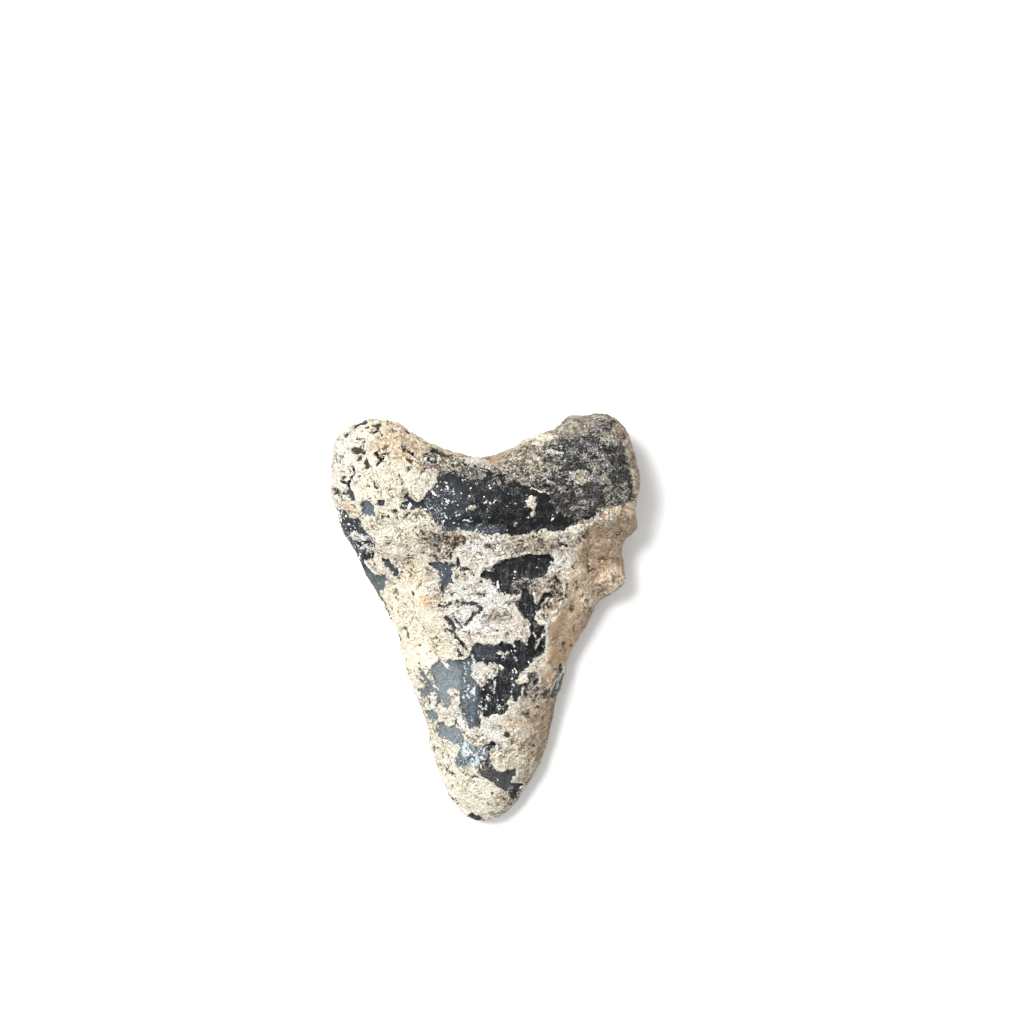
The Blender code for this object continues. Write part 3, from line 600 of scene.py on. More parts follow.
# Small round marks, as (colour, radius, places).
PAINTED_DOTS = (
    (WHITE, 0.6, (
        (441.5, 490), (437.5, 486), (461, 493), (458.5, 515.5), (454, 524), (455.5, 501.5), (468, 484.5),
        (462.5, 479), (465.5, 479.5), (478, 483), (496, 496), (506.5, 530.5), (550, 501.5), (541.5, 526.5),
        (554.5, 476), (579, 468.7), (601, 447.5), (578.5, 453), (605.5, 425), (595.5, 474), (590, 478),
        (598.5, 486), (593.5, 492), (520.5, 461.5), (530.5, 549), (514, 578), (464.5, 572.3), (536, 612),
        (533, 615), (541, 612), (465, 697), (473.5, 701), (483, 690), (479, 706.5), (517, 672.5),
        (501, 673.5), (491, 686), (578, 534), (582, 543),
    )),
    (DEEP_BROWN, 0.9, (
        (415.5, 527.5), (420.5, 527.5), (421.5, 543.5), (435, 533.5), (443.5, 538.5), (440, 540),
        (455.5, 543.5), (450, 543.5), (403, 524.5), (516, 552.5), (551.5, 547.5), (567, 542.5),
        (496.5, 537.5), (488, 535.5), (561.5, 537), (537, 706.5), (535.5, 746.5), (532, 753), (537, 760),
        (529.5, 718), (602, 556.5), (606, 560), (576, 562), (581, 565), (574, 569), (611, 573), (616, 576),
        (595.5, 523), (536.5, 453), (510, 465), (521.5, 465), (533, 473), (515.5, 479), (464, 733.5),
        (458, 702), (438, 748), (452.5, 772.5), (455, 775), (478, 773), (468, 781), (485, 800), (388, 608),
        (399.5, 529), (388, 487.5), (381.5, 469.5), (390, 463.5), (362, 470), (360, 476), (337.5, 481),
        (345, 453), (343, 443.5), (398.5, 448), (423, 459), (557, 590), (555, 595), (566, 594), (560, 587),
        (549, 592), (617, 432.5),
    )),
    (DARK_BLUE, 1.1, (
        (474, 753.5), (477.5, 752), (483, 752), (466, 748), (461.5, 742), (468, 738), (457, 743),
    )),
    (PIT_BLACK, 0.9, (
        (371, 548.5), (371.5, 551.5), (372.5, 553.5), (366, 548), (369, 549), (375, 549.5), (381, 547),
        (377.5, 553), (378, 556), (381, 551), (381.5, 554), (384, 557), (399.5, 578), (405, 578.5),
        (401.5, 632.5), (388.5, 514.5), (395, 528), (398, 532), (431.5, 490.5), (383.5, 516.5),
    )),
    (PALE_GREY, 1.0, (
        (513, 678.5), (513, 685.5), (427, 505.5), (429, 507.5), (431.5, 508.5), (363, 540), (361.5, 548.5),
        (368.5, 541.5), (357, 547),
    )),
    (PIT_BLACK, 1.2, (
        (359, 532.5), (426.5, 495.5), (422.5, 502.5), (409, 513), (369, 563.5), (530.5, 440.5), (525.5, 451),
        (443.5, 534), (575.5, 437.5), (602, 435.5), (599, 431), (562, 594.5), (414, 530), (464.7, 574.8),
        (492.5, 793.5), (561.7, 594.3), (555, 582), (442, 541), (458.5, 539), (425, 540), (461.5, 573.5),
        (525.5, 693.5), (541.5, 695), (388, 446.5), (381, 457.5),
    )),
)

# Curves that are painted in more than one way
ABOVE_THE_BAND = (
    (420, 456), (428, 449), (440, 450), (454, 457), (470, 464), (500, 468), (520, 470), (520, 482),
    (470, 480), (440, 471), (424, 464),
)
LOBE_TOP = (
    (541, 446), (560, 430), (600, 414), (612, 418), (606, 430), (575, 440), (552, 446),
)

# Colour of the crust. Each stroke is (closed curve, colour, softness of its edge).
CRUST_STROKES = {
    "left lobe, sunlit": (oval(346, 460, 24, 40), SUNLIT, 14),
    "left lobe, top": (oval(398, 446, 26, 16), LIGHT_PEACH, 12),
    "left lobe, top right": (oval(393, 430, 16, 9), SOFT_TAN, 8),
    "left lobe, right slope": (oval(425, 455, 26, 12), SOFT_TAN, 10),
    "left lobe, middle": (oval(385, 485, 34, 18), LOBE_CREAM, 12),
    "left of the band": (oval(418, 490, 16, 14), CREAM, 8),
    "left margin, white": (oval(358, 537, 9, 6), WHITE, 2),
    "left margin, second white": (oval(367, 548, 7, 7), WHITE, 2),
    "by the upper chip": (oval(396, 558, 7, 6), GREY_CREAM, 3),
    "below the left lobe": (oval(388, 527, 32, 14), LIGHT_YELLOW, 9),
    "right of the left margin": (oval(398, 610, 16, 36), YELLOW_CREAM, 10),
    "left blade": (oval(425, 640, 22, 36), YELLOW_CREAM, 14),
    "left blade, rust": (oval(425, 602, 5, 6), RUST, 5),
    "left margin, rust": (oval(350, 507, 4, 6), RUST, 4),
    "notch": (oval(485, 458, 36, 8), TAN, 6),
    "above the band": (ABOVE_THE_BAND, OLIVE, 4),
    "notch, light": (oval(473, 460, 10, 4), WHITE, 3),
    "right of the notch": (oval(528, 460, 24, 16), OLIVE, 8),
    "right lobe, top": (oval(582, 425, 42, 14), UMBER, 6),
    "right lobe": ((
        (541, 446), (560, 436), (600, 428), (625, 440), (634, 480), (632, 502), (600, 508), (548, 478),
    ), GREY_BEIGE, 8),
    "right lobe, rim": ((
        (612, 421), (622, 428), (628, 445), (631, 465), (634, 490), (645, 490), (640, 460), (634, 430),
        (620, 415),
    ), TAN, 3),
    "right lobe, pink": (oval(618, 433, 8, 8), TAN, 4),
    "right lobe, upper crust": (oval(571, 431, 13, 9), UMBER, 4),
    "granular belt": (oval(438, 543, 34, 15), GREY_CREAM, 9),
    "belt, right": (oval(540, 547, 46, 9), SAND, 8),
    "middle, white": (oval(480, 550, 26, 14), WHITE, 8),
    "right of the brow, white": (oval(558, 565, 12, 14), WHITE, 7),
    "beside the upper blade": (oval(415, 570, 14, 18), LIGHT_SAND, 8),
    "blade's middle, white": (oval(486, 606, 38, 32), WHITE, 12),
    "blade's middle, pink": (oval(522, 615, 10, 26), PINK_CREAM, 8),
    "blade's middle, stain": (oval(494, 616, 9, 5), OLIVE, 4),
    "right flank": ((
        (575, 540), (600, 512), (640, 500), (650, 560), (600, 620), (560, 700), (530, 790), (520, 800),
        (522, 760), (532, 720), (540, 690), (548, 655), (552, 620), (566, 600),
    ), TAN, 6),
    "right flank, shaded": ((
        (566, 620), (590, 600), (600, 620), (575, 680), (552, 740), (540, 790), (534, 780), (545, 730),
        (556, 680), (560, 650),
    ), DARK_TAN, 6),
    "slab": ((
        (549, 622), (556, 612), (566, 606), (580, 610), (578, 640), (570, 662), (560, 678), (550, 688),
        (546, 680), (550, 668), (548, 655),
    ), TAN, 2),
    "block below the brow": (oval(551, 606, 10, 8), DARK_TAN, 3),
    "blade, block": (oval(485, 674, 14, 12), WHITE, 2),
    "block by the rim": (oval(541, 669, 6, 13), LIGHT_SAND, 4),
    "flank under the rim": (oval(553, 618, 5, 6), LIGHT_SAND, 3),
    "belt, olive": (oval(452, 540, 13, 9), YELLOW_BROWN, 5),
    "belt, yellow": (oval(446, 545, 4, 3), YELLOW_CREAM, 2),
    "belt, light left": (oval(414, 542, 8, 8), CREAM, 4),
    "belt, left": (oval(430, 542, 5, 7), GREY_BEIGE, 4),
    "left of the upper blade": (oval(415, 571, 9, 7), YELLOW_CREAM, 4),
    "right of the margin": (oval(388, 557, 7, 9), LIGHT_SAND, 4),
    "under the brow": ((
        (526, 579), (540, 578), (551, 572), (560, 576), (567, 584), (568, 598), (556, 602), (546, 592),
        (538, 604), (532, 594),
    ), GREY_CREAM, 4),
    "under the brow, grains": (oval(558, 589, 9, 11), SAND, 4),
    "below the right block": (oval(530, 693, 13, 12), GREY_CREAM, 5),
    "tip, rust": (oval(503, 797, 6, 7), PEACH, 4),
    # Painted shade in the right flank's hollow.
    "right flank, painted shade in the hollow": (oval(597, 562, 14, 26), DARK_TAN, 8),
    # Painted light on the right flank and on its flange's edge, and a painted highlight on the flange's upper
    # edge.
    "right flank, painted light": (oval(576, 580, 9, 16), SOFT_TAN, 7),
    "right flank, lower painted light": (oval(588, 598, 16, 10), SOFT_TAN, 6),
    "right flank, upper painted light": (oval(612, 543, 10, 10), PALE_TAN, 6),
    "flange, painted light on the edge": (oval(612, 579, 14, 13), PEACH, 6),
    "flange, painted highlight on the upper edge": (oval(626, 508, 14, 8), PEACH, 6),
    "lower right blade": (oval(520, 745, 24, 34), LIGHT_SAND, 12),
    "lower right edge": (oval(540, 724, 12, 44), TAN, 8),
    "middle, below the blade": (oval(462, 726, 13, 12), WHITE, 6),
    "lower left blade": (oval(458, 780, 28, 44), LIGHT_YELLOW, 14),
    "lower blade, white": (oval(492, 735, 14, 16), WHITE, 8),
    "lower blade, cream": (oval(512, 739, 9, 11), CREAM, 4),
    "below the belt": (oval(459, 557, 7, 7), CREAM, 3),
}

# Colour of the bare tooth.
BARE_STROKES = {
    "right lobe": ((
        (541, 446), (560, 436), (600, 418), (625, 430), (634, 480), (632, 502), (600, 504), (560, 482),
    ), BROWN_BLACK, 8),
    "left margin": (oval(350, 520, 16, 16), SLATE, 6),
    "left margin, low": (oval(380, 592, 20, 32), DARK_SEA, 5),
    "left lobe, spots": (oval(364, 497, 25, 12), SLATE, 3),
    "upper chip": (oval(392, 569, 7, 8), DARK_BLUE, 3),
    "blue spot": (oval(367, 510, 10, 10), BLUE_SLATE, 3),
    "root band, left": (oval(430, 505, 40, 34), SLATE, 14),
    "root band, lower edge": (oval(474, 530, 30, 4), DARK_BLUE, 4),
    "upper blade, grey patch": (oval(444, 576, 16, 22), DARK_BLUE, 4),
    "blade, grey": (oval(438, 685, 26, 34), GREY, 8),
    "blade, low left": (oval(428, 690, 8, 8), LEAD, 3),
    "blade, blue": (oval(469, 694, 9, 40), BLUE_SLATE, 5),
    "blade, upper left": (oval(482, 652, 16, 10), SLATE, 6),
    "blade, left chip": (oval(432, 716, 9, 9), SEA_GREY, 3),
    "blade, grey tongue": (oval(452, 734, 16, 14), GREY, 4),
    "blade, pale spot": (oval(472, 756, 18, 14), PALE_BLUE, 5),
    "chin": (oval(498, 778, 24, 16), CHARCOAL, 8),
    "right margin": (oval(554, 684, 14, 20), BROWN_BLACK, 4),
    "curl": (oval(462, 618, 22, 22), SLATE, 4),
}

# How far brown grime fills the hollows of the crust, from 0 to 1.
GRIME_STROKES = {
    "granular belt": (oval(443, 543, 27, 14), 1.0, 6),
    "middle, white": (oval(480, 554, 20, 9), 0.1, 6),
    "belt, right": (oval(535, 545, 50, 8), 0.75, 7),
    "belt, light left": (oval(414, 542, 8, 8), 0.25, 4),
    "belt, left": (oval(430, 542, 6, 7), 0.75, 4),
    "right of the margin": (oval(388, 557, 7, 9), 0.4, 4),
    "left lobe": (oval(380, 470, 50, 30), 0.26, 14),
    "below the left lobe": (oval(380, 526, 24, 12), 0.06, 8),
    "left lobe, right slope": (oval(425, 462, 20, 12), 0.65, 8),
    "right of the notch": (oval(528, 462, 24, 16), 0.9, 8),
    "above the band": (ABOVE_THE_BAND, 0.95, 4),
    "right lobe, top": (oval(585, 427, 34, 10), 0.45, 6),
    "right of the band": (oval(600, 520, 30, 10), 0.5, 8),
    "flank pits": (oval(583, 541, 9, 7), 1.0, 4),
    "under the brow": (oval(543, 585, 12, 10), 0.7, 5),
    "black grains": (oval(558, 588, 8, 12), 1.2, 4),
    "below the right block": (oval(530, 693, 13, 12), 0.75, 5),
    "below the brow": (oval(545, 610, 8, 14), 0.8, 4),
    "lower right blade": (oval(525, 738, 18, 42), 0.3, 10),
    "right flank": (oval(600, 590, 40, 60), 0.3, 10),
    "upper blade": (oval(438, 575, 16, 16), 0.6, 8),
    "beside the upper blade": (oval(413, 572, 14, 20), 0.1, 8),
    "stain": (oval(494, 616, 11, 6), 0.6, 4),
    "above the stain": (oval(500, 600, 9, 7), 0.35, 4),
    "below the belt": (oval(459, 557, 7, 7), 0.1, 3),
    "lower blade": (oval(452, 785, 26, 30), 0.08, 12),
    "blade's tip": (oval(512, 798, 10, 14), 0.8, 6),
}

# How far crust and bare tooth are mixed, from 0 to 1.
MOTTLE_STROKES = {
    "right lobe": ((
        (541, 444), (556, 438), (565, 433), (575, 436), (585, 434), (590, 428), (600, 418), (606, 415),
        (613, 419), (612, 430), (622, 436), (626, 448), (628, 460), (631, 475), (635, 490), (634, 500),
        (628, 505), (612, 507), (592, 516), (574, 522), (558, 512), (545, 490), (541, 470),
    ), 0.9, 5),
    "band's upper edge": ((
        (438, 468), (456, 468), (474, 468), (490, 468), (520, 473), (550, 478), (552, 490), (520, 488),
        (490, 479), (470, 480), (455, 474), (440, 476),
    ), 0.6, 4),
    "left of the lobe": (oval(529, 471, 15, 8), 0.5, 5),
    "left margin": (oval(373, 545, 4, 9), 0.75, 2),
    "right margin": (oval(556, 682, 9, 16), 0.45, 4),
    "chin, top": (oval(485, 766, 6, 7), 0.6, 3),
    "chin's lower end": (oval(515, 793, 7, 8), 0.55, 4),
    "brow's mottled end": ((
        (513, 582), (520, 578), (530, 579), (537, 580), (534, 587), (531, 594), (526, 590), (519, 592),
        (512, 590),
    ), 0.8, 3),
    "right of the blade": ((
        (527, 672), (539, 672), (541, 684), (538, 691), (530, 689), (522, 690), (518, 687), (528, 684),
    ), 0.55, 2),
    "beside the blade": (oval(538, 628, 8, 12), 0.45, 4),
}

# Colour of the lighter grains in the mixed places.
MIXED_STROKES = {
    "slate": (oval(585, 462, 46, 26), MIXED_GREY, 10),
    "top": (LOBE_TOP, MIXED_BROWN, 4),
    "light top": (oval(608, 437, 9, 7), MIXED_LIGHT, 4),
    "brown block": (oval(601, 466, 9, 7), MIXED_BROWN, 4),
    "light block": (oval(582, 477, 9, 8), MIXED_LIGHT, 3),
    "right rim": (oval(621, 440, 8, 18), MIXED_PINK, 4),
    "right threads": (oval(607, 488, 6, 15), MIXED_LIGHT, 4),
    "left margin": (oval(373, 545, 7, 12), CREAM, 2),
    "left of the lobe": (oval(532, 470, 17, 10), MIXED_BROWN, 6),
    "light left": (oval(547, 464, 13, 13), MIXED_LIGHT, 5),
    "under the brow": (oval(545, 585, 14, 12), MIXED_LIGHT, 5),
    "right of the blade": (oval(531, 680, 14, 14), MIXED_BROWN, 5),
}

# In the mixed places, how much more of the tooth (above 0) or of the crust (below 0) shows.
DARK_SHARE_STROKES = {
    "right lobe": (oval(590, 470, 60, 50), 0.5, 10),
    "dark streak": (oval(582, 466, 11, 4), 0.9, 3),
    "upper dark streak": (oval(599, 446, 16, 7), 1.5, 4),
    "lower dark": (oval(575, 497, 34, 10), 0.9, 8),
    "top": (LOBE_TOP, -0.5, 4),
    "beside the blade": (oval(538, 628, 8, 12), 0.9, 3),
    "light block": (oval(582, 477, 9, 7), -1.6, 3),
    "left of the lobe": (oval(529, 469, 17, 9), -0.2, 5),
    "light top": (oval(608, 437, 9, 7), -1.2, 4),
    "brown block": (oval(601, 466, 9, 7), -0.9, 4),
    "right light": (oval(618, 434, 9, 12), -1.0, 4),
    "right threads": (oval(606, 488, 6, 14), -0.7, 3),
    "dark middle": (oval(586, 446, 14, 9), 0.6, 5),
    "dark right": (oval(625, 470, 7, 26), 0.9, 5),
    "dark low": (oval(598, 496, 9, 12), 0.9, 5),
    "light left": (oval(541, 465, 10, 12), -0.7, 5),
    "lowest dark": (oval(578, 513, 20, 8), 1.0, 5),
    "left margin": (oval(373, 545, 7, 12), -0.8, 2),
}

# How thick white grains lie on the bare tooth, from 0 to 1.
SPECK_STROKES = {
    "left margin": (oval(358, 540, 20, 26), 0.45, 8),
    "root band, left": (oval(440, 506, 20, 26), 0.6, 8),
    "root band, lower left": (oval(444, 522, 10, 8), 0.9, 5),
    "root band, middle": (oval(490, 495, 34, 24), 0.27, 12),
    "root band, right": (oval(580, 502, 22, 14), 0.55, 10),
    "blade": (oval(490, 680, 34, 34), 0.22, 10),
    "blade, blue": (oval(468, 692, 9, 30), 0.45, 5),
    "pale spot": (oval(472, 756, 18, 14), 1.0, 5),
    "root band, lower edge": (oval(474, 529, 30, 4), 0.4, 4),
    "chin": (oval(500, 778, 14, 10), 0.15, 5),
}

# How rough the surface is, beside 1 for most of it.
RUGGED_STROKES = {
    "left lobe": (oval(372, 465, 44, 40), 0.65, 14),
    "left blade": (oval(410, 620, 24, 50), 0.7, 10),
    "right flank": ((
        (575, 540), (600, 512), (640, 500), (650, 560), (600, 620), (560, 700), (530, 790), (520, 800),
        (535, 760), (540, 720), (542, 690), (546, 655), (550, 620), (566, 600),
    ), 0.7, 5),
    "left blade, low": (oval(428, 654, 10, 11), 0.35, 4),
    "blade's middle": (oval(472, 628, 10, 9), 0.5, 4),
    "tip": (oval(472, 800, 22, 26), 0.75, 8),
    "beside the tongue": (oval(457, 726, 6, 10), 0.6, 4),
    "slab": ((
        (556, 608), (580, 600), (590, 620), (562, 680), (548, 690), (538, 664), (547, 650), (549, 622),
    ), 0.3, 4),
}

# Where the crust has come away from the lower face, as (x, y) in millimetres.
LOWER_BARE_PATCHES = {
    "outer root": (
        (-24.0, 33.0), (-10.0, 30.0), (6.0, 29.5), (20.0, 34.0), (23.0, 28.0), (8.0, 24.0), (-12.0, 25.0),
    ),
    "outer crown": (
        (-8.0, 12.0), (4.0, 16.0), (12.0, 9.0), (9.0, -4.0), (4.0, -16.0), (-3.0, -14.0), (-9.0, 0.0),
    ),
    "outer point": ((-3.0, -24.0), (3.0, -26.0), (5.0, -35.0), (0.0, -39.0), (-5.0, -33.0)),
}

def linear(colour):
    """An sRGB colour from 0 to 255 as linear RGB from 0 to 1."""
    share = np.asarray(colour, float) / 255
    return np.where(share <= 0.04045, share / 12.92, ((share + 0.055) / 1.055) ** 2.4)


def smoothstep(low, high, value):
    """0 up to low and 1 from high on, with a smooth rise between."""
    t = np.clip((value - low) / (high - low), 0.0, 1.0)
    return t * t * (3 - 2 * t)


def seen(points):
    """Where points on the tooth lie in the camera's picture, in pixels."""
    x, y, height = CAMERA_PLACE
    scale = FOCAL_LENGTH_PIXELS / (height - points[:, 2])
    right = PICTURE_SIZE / 2 + (points[:, 0] - x) * scale
    down = PICTURE_SIZE / 2 - (points[:, 1] - y) * scale
    return np.stack([right, down], axis=1)


def distance_to_line(places, line):
    """Distance from each place to an open line."""
    nearest = np.full(len(places), np.inf)
    for start, end in zip(line[:-1], line[1:]):
        run = end - start
        share = np.clip((places - start) @ run / max(run @ run, NO_LENGTH), 0.0, 1.0)
        offset = places - start - share[:, None] * run
        nearest = np.minimum(nearest, (offset**2).sum(axis=1))
    return np.sqrt(nearest)


def near(places, line, reach):
    """The places within reach of a line's own box."""
    above = places > line.min(axis=0) - reach
    below = places < line.max(axis=0) + reach
    return np.flatnonzero(np.all(above & below, axis=1))


def depth_inside(places, curve, reach=REACH):
    """Distance to a closed curve, positive inside it, and -reach where it is further away."""
    line = np.array([*curve, curve[0]], float)
    depth = np.full(len(places), -float(reach))
    close = near(places, line, reach)
    x, y = places[close].T
    inside = np.zeros(len(close), bool)
    for (x0, y0), (x1, y1) in zip(line[:-1], line[1:]):
        crosses = (y0 > y) != (y1 > y)
        height = y1 - y0 if y1 != y0 else 1.0
        inside ^= crosses & (x < (x1 - x0) * (y - y0) / height + x0)
    distance = distance_to_line(places[close], line)
    depth[close] = np.where(inside, distance, np.maximum(-distance, -reach))
    return depth


def depth_in_line(places, points, half_width, reach=REACH):
    """Distance to the border of a broad line, positive on the line."""
    line = np.array(points, float)
    depth = np.full(len(places), -float(reach))
    close = near(places, line, reach + half_width)
    depth[close] = np.maximum(half_width - distance_to_line(places[close], line), -reach)
    return depth


def in_curves(places, curves):
    """The depth of each place in whichever closed curve holds it deepest."""
    return reduce(np.maximum, (depth_inside(places, curve) for curve in curves.values()))


def in_lines(places, lines):
    """The same for broad lines, each with its half width."""
    return reduce(np.maximum, (depth_in_line(places, *line) for line in lines.values()))


def painted(places, ground, strokes):
    """The ground value at each place, covered in turn by each stroke's own value."""
    value = np.broadcast_to(np.asarray(ground, float), (len(places), np.size(ground))).copy()
    for curve, paint, softness in strokes.values():
        cover = smoothstep(-softness, softness, depth_inside(places, curve, softness))
        value += cover[:, None] * (np.asarray(paint, float) - value)
    return value if np.size(ground) > 1 else value[:, 0]


def painted_colour(places, ground, strokes):
    """The same for colours, mixed as linear RGB."""
    in_linear = {name: (curve, linear(paint), soft) for name, (curve, paint, soft) in strokes.items()}
    return painted(places, linear(ground), in_linear)


def blended(first, second, share):
    """Colours, each changed to the second one to its share."""
    return first + share[:, None] * (second - first)


def grain(points, size, seed, octaves=2):
    """Fractal noise at each point, about -1 to 1, with features of that size."""
    shift = np.array([seed, 2.3 * seed, -1.7 * seed])
    return np.array([noise.fractal(place, 1.0, 2.1, octaves) for place in (points / size + shift).tolist()])


def ridged(points, size, seed):
    """Thin winding threads, 1 on a thread's middle line and 0 well off it."""
    return 1 - smoothstep(0.0, THREAD_EDGE, np.abs(grain(points, size, seed, octaves=1)))


class Surface:
    """The tooth's surface as a dense mesh, in millimetres."""

    def __init__(self, node):
        mesh = node.data.copy()
        mesh.transform(Matrix.Scale(1 / MILLIMETRE, 4))
        rough = bpy.data.objects.new("rough tooth", mesh)
        bpy.context.scene.collection.objects.link(rough)
        remesh = rough.modifiers.new("even mesh", "REMESH")
        remesh.mode = "VOXEL"
        remesh.voxel_size = VOXEL
        self.mesh = evaluated(rough)
        bpy.data.objects.remove(rough)
        edges = np.empty(2 * len(self.mesh.edges), np.int32)
        self.mesh.edges.foreach_get("vertices", edges)
        self.edges = edges.reshape(-1, 2)
        self.count = len(self.mesh.vertices)
        self.degree = np.bincount(self.edges.ravel(), minlength=self.count)[:, None]

    def points(self):
        co = np.empty(3 * self.count, np.float32)
        self.mesh.vertices.foreach_get("co", co)
        return co.reshape(-1, 3).astype(float)

    def normals(self):
        vectors = np.empty(3 * self.count, np.float32)
        self.mesh.vertex_normals.foreach_get("vector", vectors)
        return vectors.reshape(-1, 3).astype(float)

    def move(self, points):
        self.mesh.vertices.foreach_set("co", points.astype(np.float32).ravel())
        self.mesh.update()

    def softened(self, values, rounds):
        """The values, each replaced by the mean of its neighbours' for that many rounds."""
        ends, others = np.concatenate([self.edges, self.edges[:, ::-1]]).T
        for _ in range(rounds):
            sums = [np.bincount(ends, weights=column[others], minlength=self.count) for column in values.T]
            values = np.stack(sums, axis=1) / self.degree
        return values

    def smooth(self, rounds):
        """Softens every step and facet, and gives back the roundness that softening takes."""
        points = self.points()
        soft = self.softened(points, rounds)
        self.move(soft + self.softened(points - soft, rounds))


def evaluated(item):
    """The mesh of an object as its modifiers leave it."""
    graph = bpy.context.evaluated_depsgraph_get()
    return bpy.data.meshes.new_from_object(item.evaluated_get(graph))


def bare_depth(places, exact):
    """Depth in the upper face's bare tooth: its patches without their islands, and the narrow lines."""
    patches = np.minimum(in_curves(places, BARE_PATCHES), -in_curves(exact, CRUST_ISLANDS))
    return np.maximum(patches, in_lines(exact, DARK_LINES))


def lower_bare_depth(points, ragged):
    """Depth in the lower face's bare tooth, in millimetres: its patches, and spots strewn between them."""
    least, most = LOWER_DEPTHS
    patches = in_curves(points[:, :2] + LOWER_SHIFT * ragged, LOWER_BARE_PATCHES)
    spots = most * grain(points, LOWER_SPOT_SIZE, seed=4.4) + least
    return np.clip(np.maximum(patches, spots), least, most)


def scratch_depth(places):
    """Depth in the light streaks and rings."""
    scratch = in_lines(places, LIGHT_STREAKS)
    for centre, radius in RINGS.values():
        off = np.abs(np.hypot(*(places - centre).T) - radius)
        scratch = np.maximum(scratch, RING_HALF_WIDTH - off)
    return scratch


def painted_marks(places):
    """Depth in the small painted marks, and the colour of the mark that each place is deepest in."""
    depth = np.full(len(places), -REACH)
    colours = np.zeros((len(places), 3))
    dots = [(colour, radius, [(dot, dot) for dot in centres]) for colour, radius, centres in PAINTED_DOTS]
    for colour, half_width, lines in (*PAINTED_LINES, *dots):
        for line in lines:
            here = depth_in_line(places, line, half_width)
            deeper = here > depth
            depth[deeper] = here[deeper]
            colours[deeper] = linear(colour)
    return depth, colours


def fields(points, normals):
    """What the surface is at each point: how bare, pitted, grimy and so on, and its colours."""
    upper = smoothstep(*MARKS_FADE, normals[:, 2])
    lower = 1 - upper
    on_top = upper > 0.5
    ragged = np.stack([grain(points, RAGGED_SIZE, seed) for seed in (3.1, 7.9)], axis=1)
    finer = np.stack([grain(points, FINER_SIZE, seed, octaves=1) for seed in (1.3, 6.2)], axis=1)
    straight = seen(points)
    exact = straight + EXACT_SHIFT * finer
    places = straight + RAGGED_SHIFT * ragged + FINER_SHIFT * finer
    wide = places + WIDE_SHIFT * ragged
    paint, paint_colour = painted_marks(exact)
    drift = grain(points, DRIFT_SIZE, seed=2.7)
    lower_grime = np.clip(0.4 + 0.5 * drift, 0.1, 1.0)
    lower_crust = blended(linear(TAN), linear(CREAM), smoothstep(-0.4, 0.4, drift))
    lower_enamel = blended(linear(SLATE), linear(BLUE_GREY), smoothstep(-0.3, 0.6, drift))
    return {
        "bare": upper * PIXEL * bare_depth(places, exact) + lower * lower_bare_depth(points, ragged),
        "pit": PIXEL * np.where(on_top, in_curves(exact, PITS), -REACH),
        "paint": PIXEL * np.where(on_top, paint, -REACH),
        "paint_colour": paint_colour,
        "mottle": upper * painted(places, 0.0, MOTTLE_STROKES),
        "dark_share": upper * painted(places, 0.0, DARK_SHARE_STROKES),
        "lump": grain(points, LUMP_SIZE, seed=5.6),
        "rugged": 1 + upper * (painted(wide, 1.0, RUGGED_STROKES) - 1),
        "grime": upper * painted(wide, USUAL_GRIME, GRIME_STROKES) + lower * lower_grime,
        "specks": upper * painted(wide, USUAL_SPECKS, SPECK_STROKES) + lower * LOWER_SPECKS,
        "scratch": PIXEL * np.where(on_top, scratch_depth(exact), -REACH),
        "streaky": smoothstep(*CROWN_START, points[:, 1]),
        "mixed_colour": painted_colour(places, MIXED_BROWN, MIXED_STROKES),
        "crust_colour": blended(lower_crust, painted_colour(wide, CREAM, CRUST_STROKES), upper),
        "bare_colour": blended(lower_enamel, painted_colour(places, BLACK, BARE_STROKES), upper),
    }


def relief(points, normals, found):
    """How far the fine surface stands out from the smooth tooth."""
    bareness = smoothstep(-CRUST_EDGE, CRUST_EDGE, found["bare"])
    crust = 1 - bareness
    lip = np.exp(-((found["bare"] + LIP_PLACE) / LIP_WIDTH) ** 2)
    lumps = LUMP_HEIGHT * found["rugged"] * found["lump"]
    grain_height = GRAIN_HEIGHT + GRIMY_GRAIN_HEIGHT * found["grime"]
    winding = smoothstep(0.0, 0.4, grain(points, THREADED_SIZE, seed=11.2, octaves=1))
    out = CRUST_THICKNESS * crust + LIP_HEIGHT * lip
    out += crust * (SWELL_HEIGHT * grain(points, SWELL_SIZE, seed=1.9) + lumps)
    out += crust * grain_height * grain(points, GRAIN_SIZE, seed=8.8, octaves=1)
    out += crust * THREAD_HEIGHT * winding * ridged(points, THREAD_SIZE, seed=12.5)
    out += bareness * STREAK_HEIGHT * grain(points * STREAK_SHAPE, STREAK_SIZE, seed=14.1, octaves=1)
    out += bareness * WAVE_HEIGHT * grain(points, WAVE_SIZE, seed=15.3)
    out -= PIT_DEPTH * smoothstep(-PIT_EDGE, PIT_EDGE, found["pit"])
    lightness = found["paint_colour"].mean(axis=1)
    out += PAINT_HEIGHT * (lightness - PAINT_LEVEL) * smoothstep(-PAINT_EDGE, PAINT_EDGE, found["paint"])
    upper = smoothstep(*RIDGES_FADE, normals[:, 2])
    places = seen(points)
    for line, (height, half_width) in CRUST_RIDGES.values():
        off = -PIXEL * depth_in_line(places, line, 0.0, RIDGE_REACH)
        out += upper * height * np.exp(-((off / half_width) ** 2))
    return out - CRUST_THICKNESS


def write_fields(mesh, found):
    """Writes each field on the mesh as an attribute: a colour where it has three values at each point."""
    for name, values in found.items():
        kind = "FLOAT_COLOR" if values.ndim == 2 else "FLOAT"
        attribute = mesh.attributes.new(name, kind, "POINT")
        if values.ndim == 2:
            with_alpha = np.concatenate([values, np.ones((len(values), 1))], axis=1)
            attribute.data.foreach_set("color", with_alpha.astype(np.float32).ravel())
        else:
            attribute.data.foreach_set("value", values.astype(np.float32))


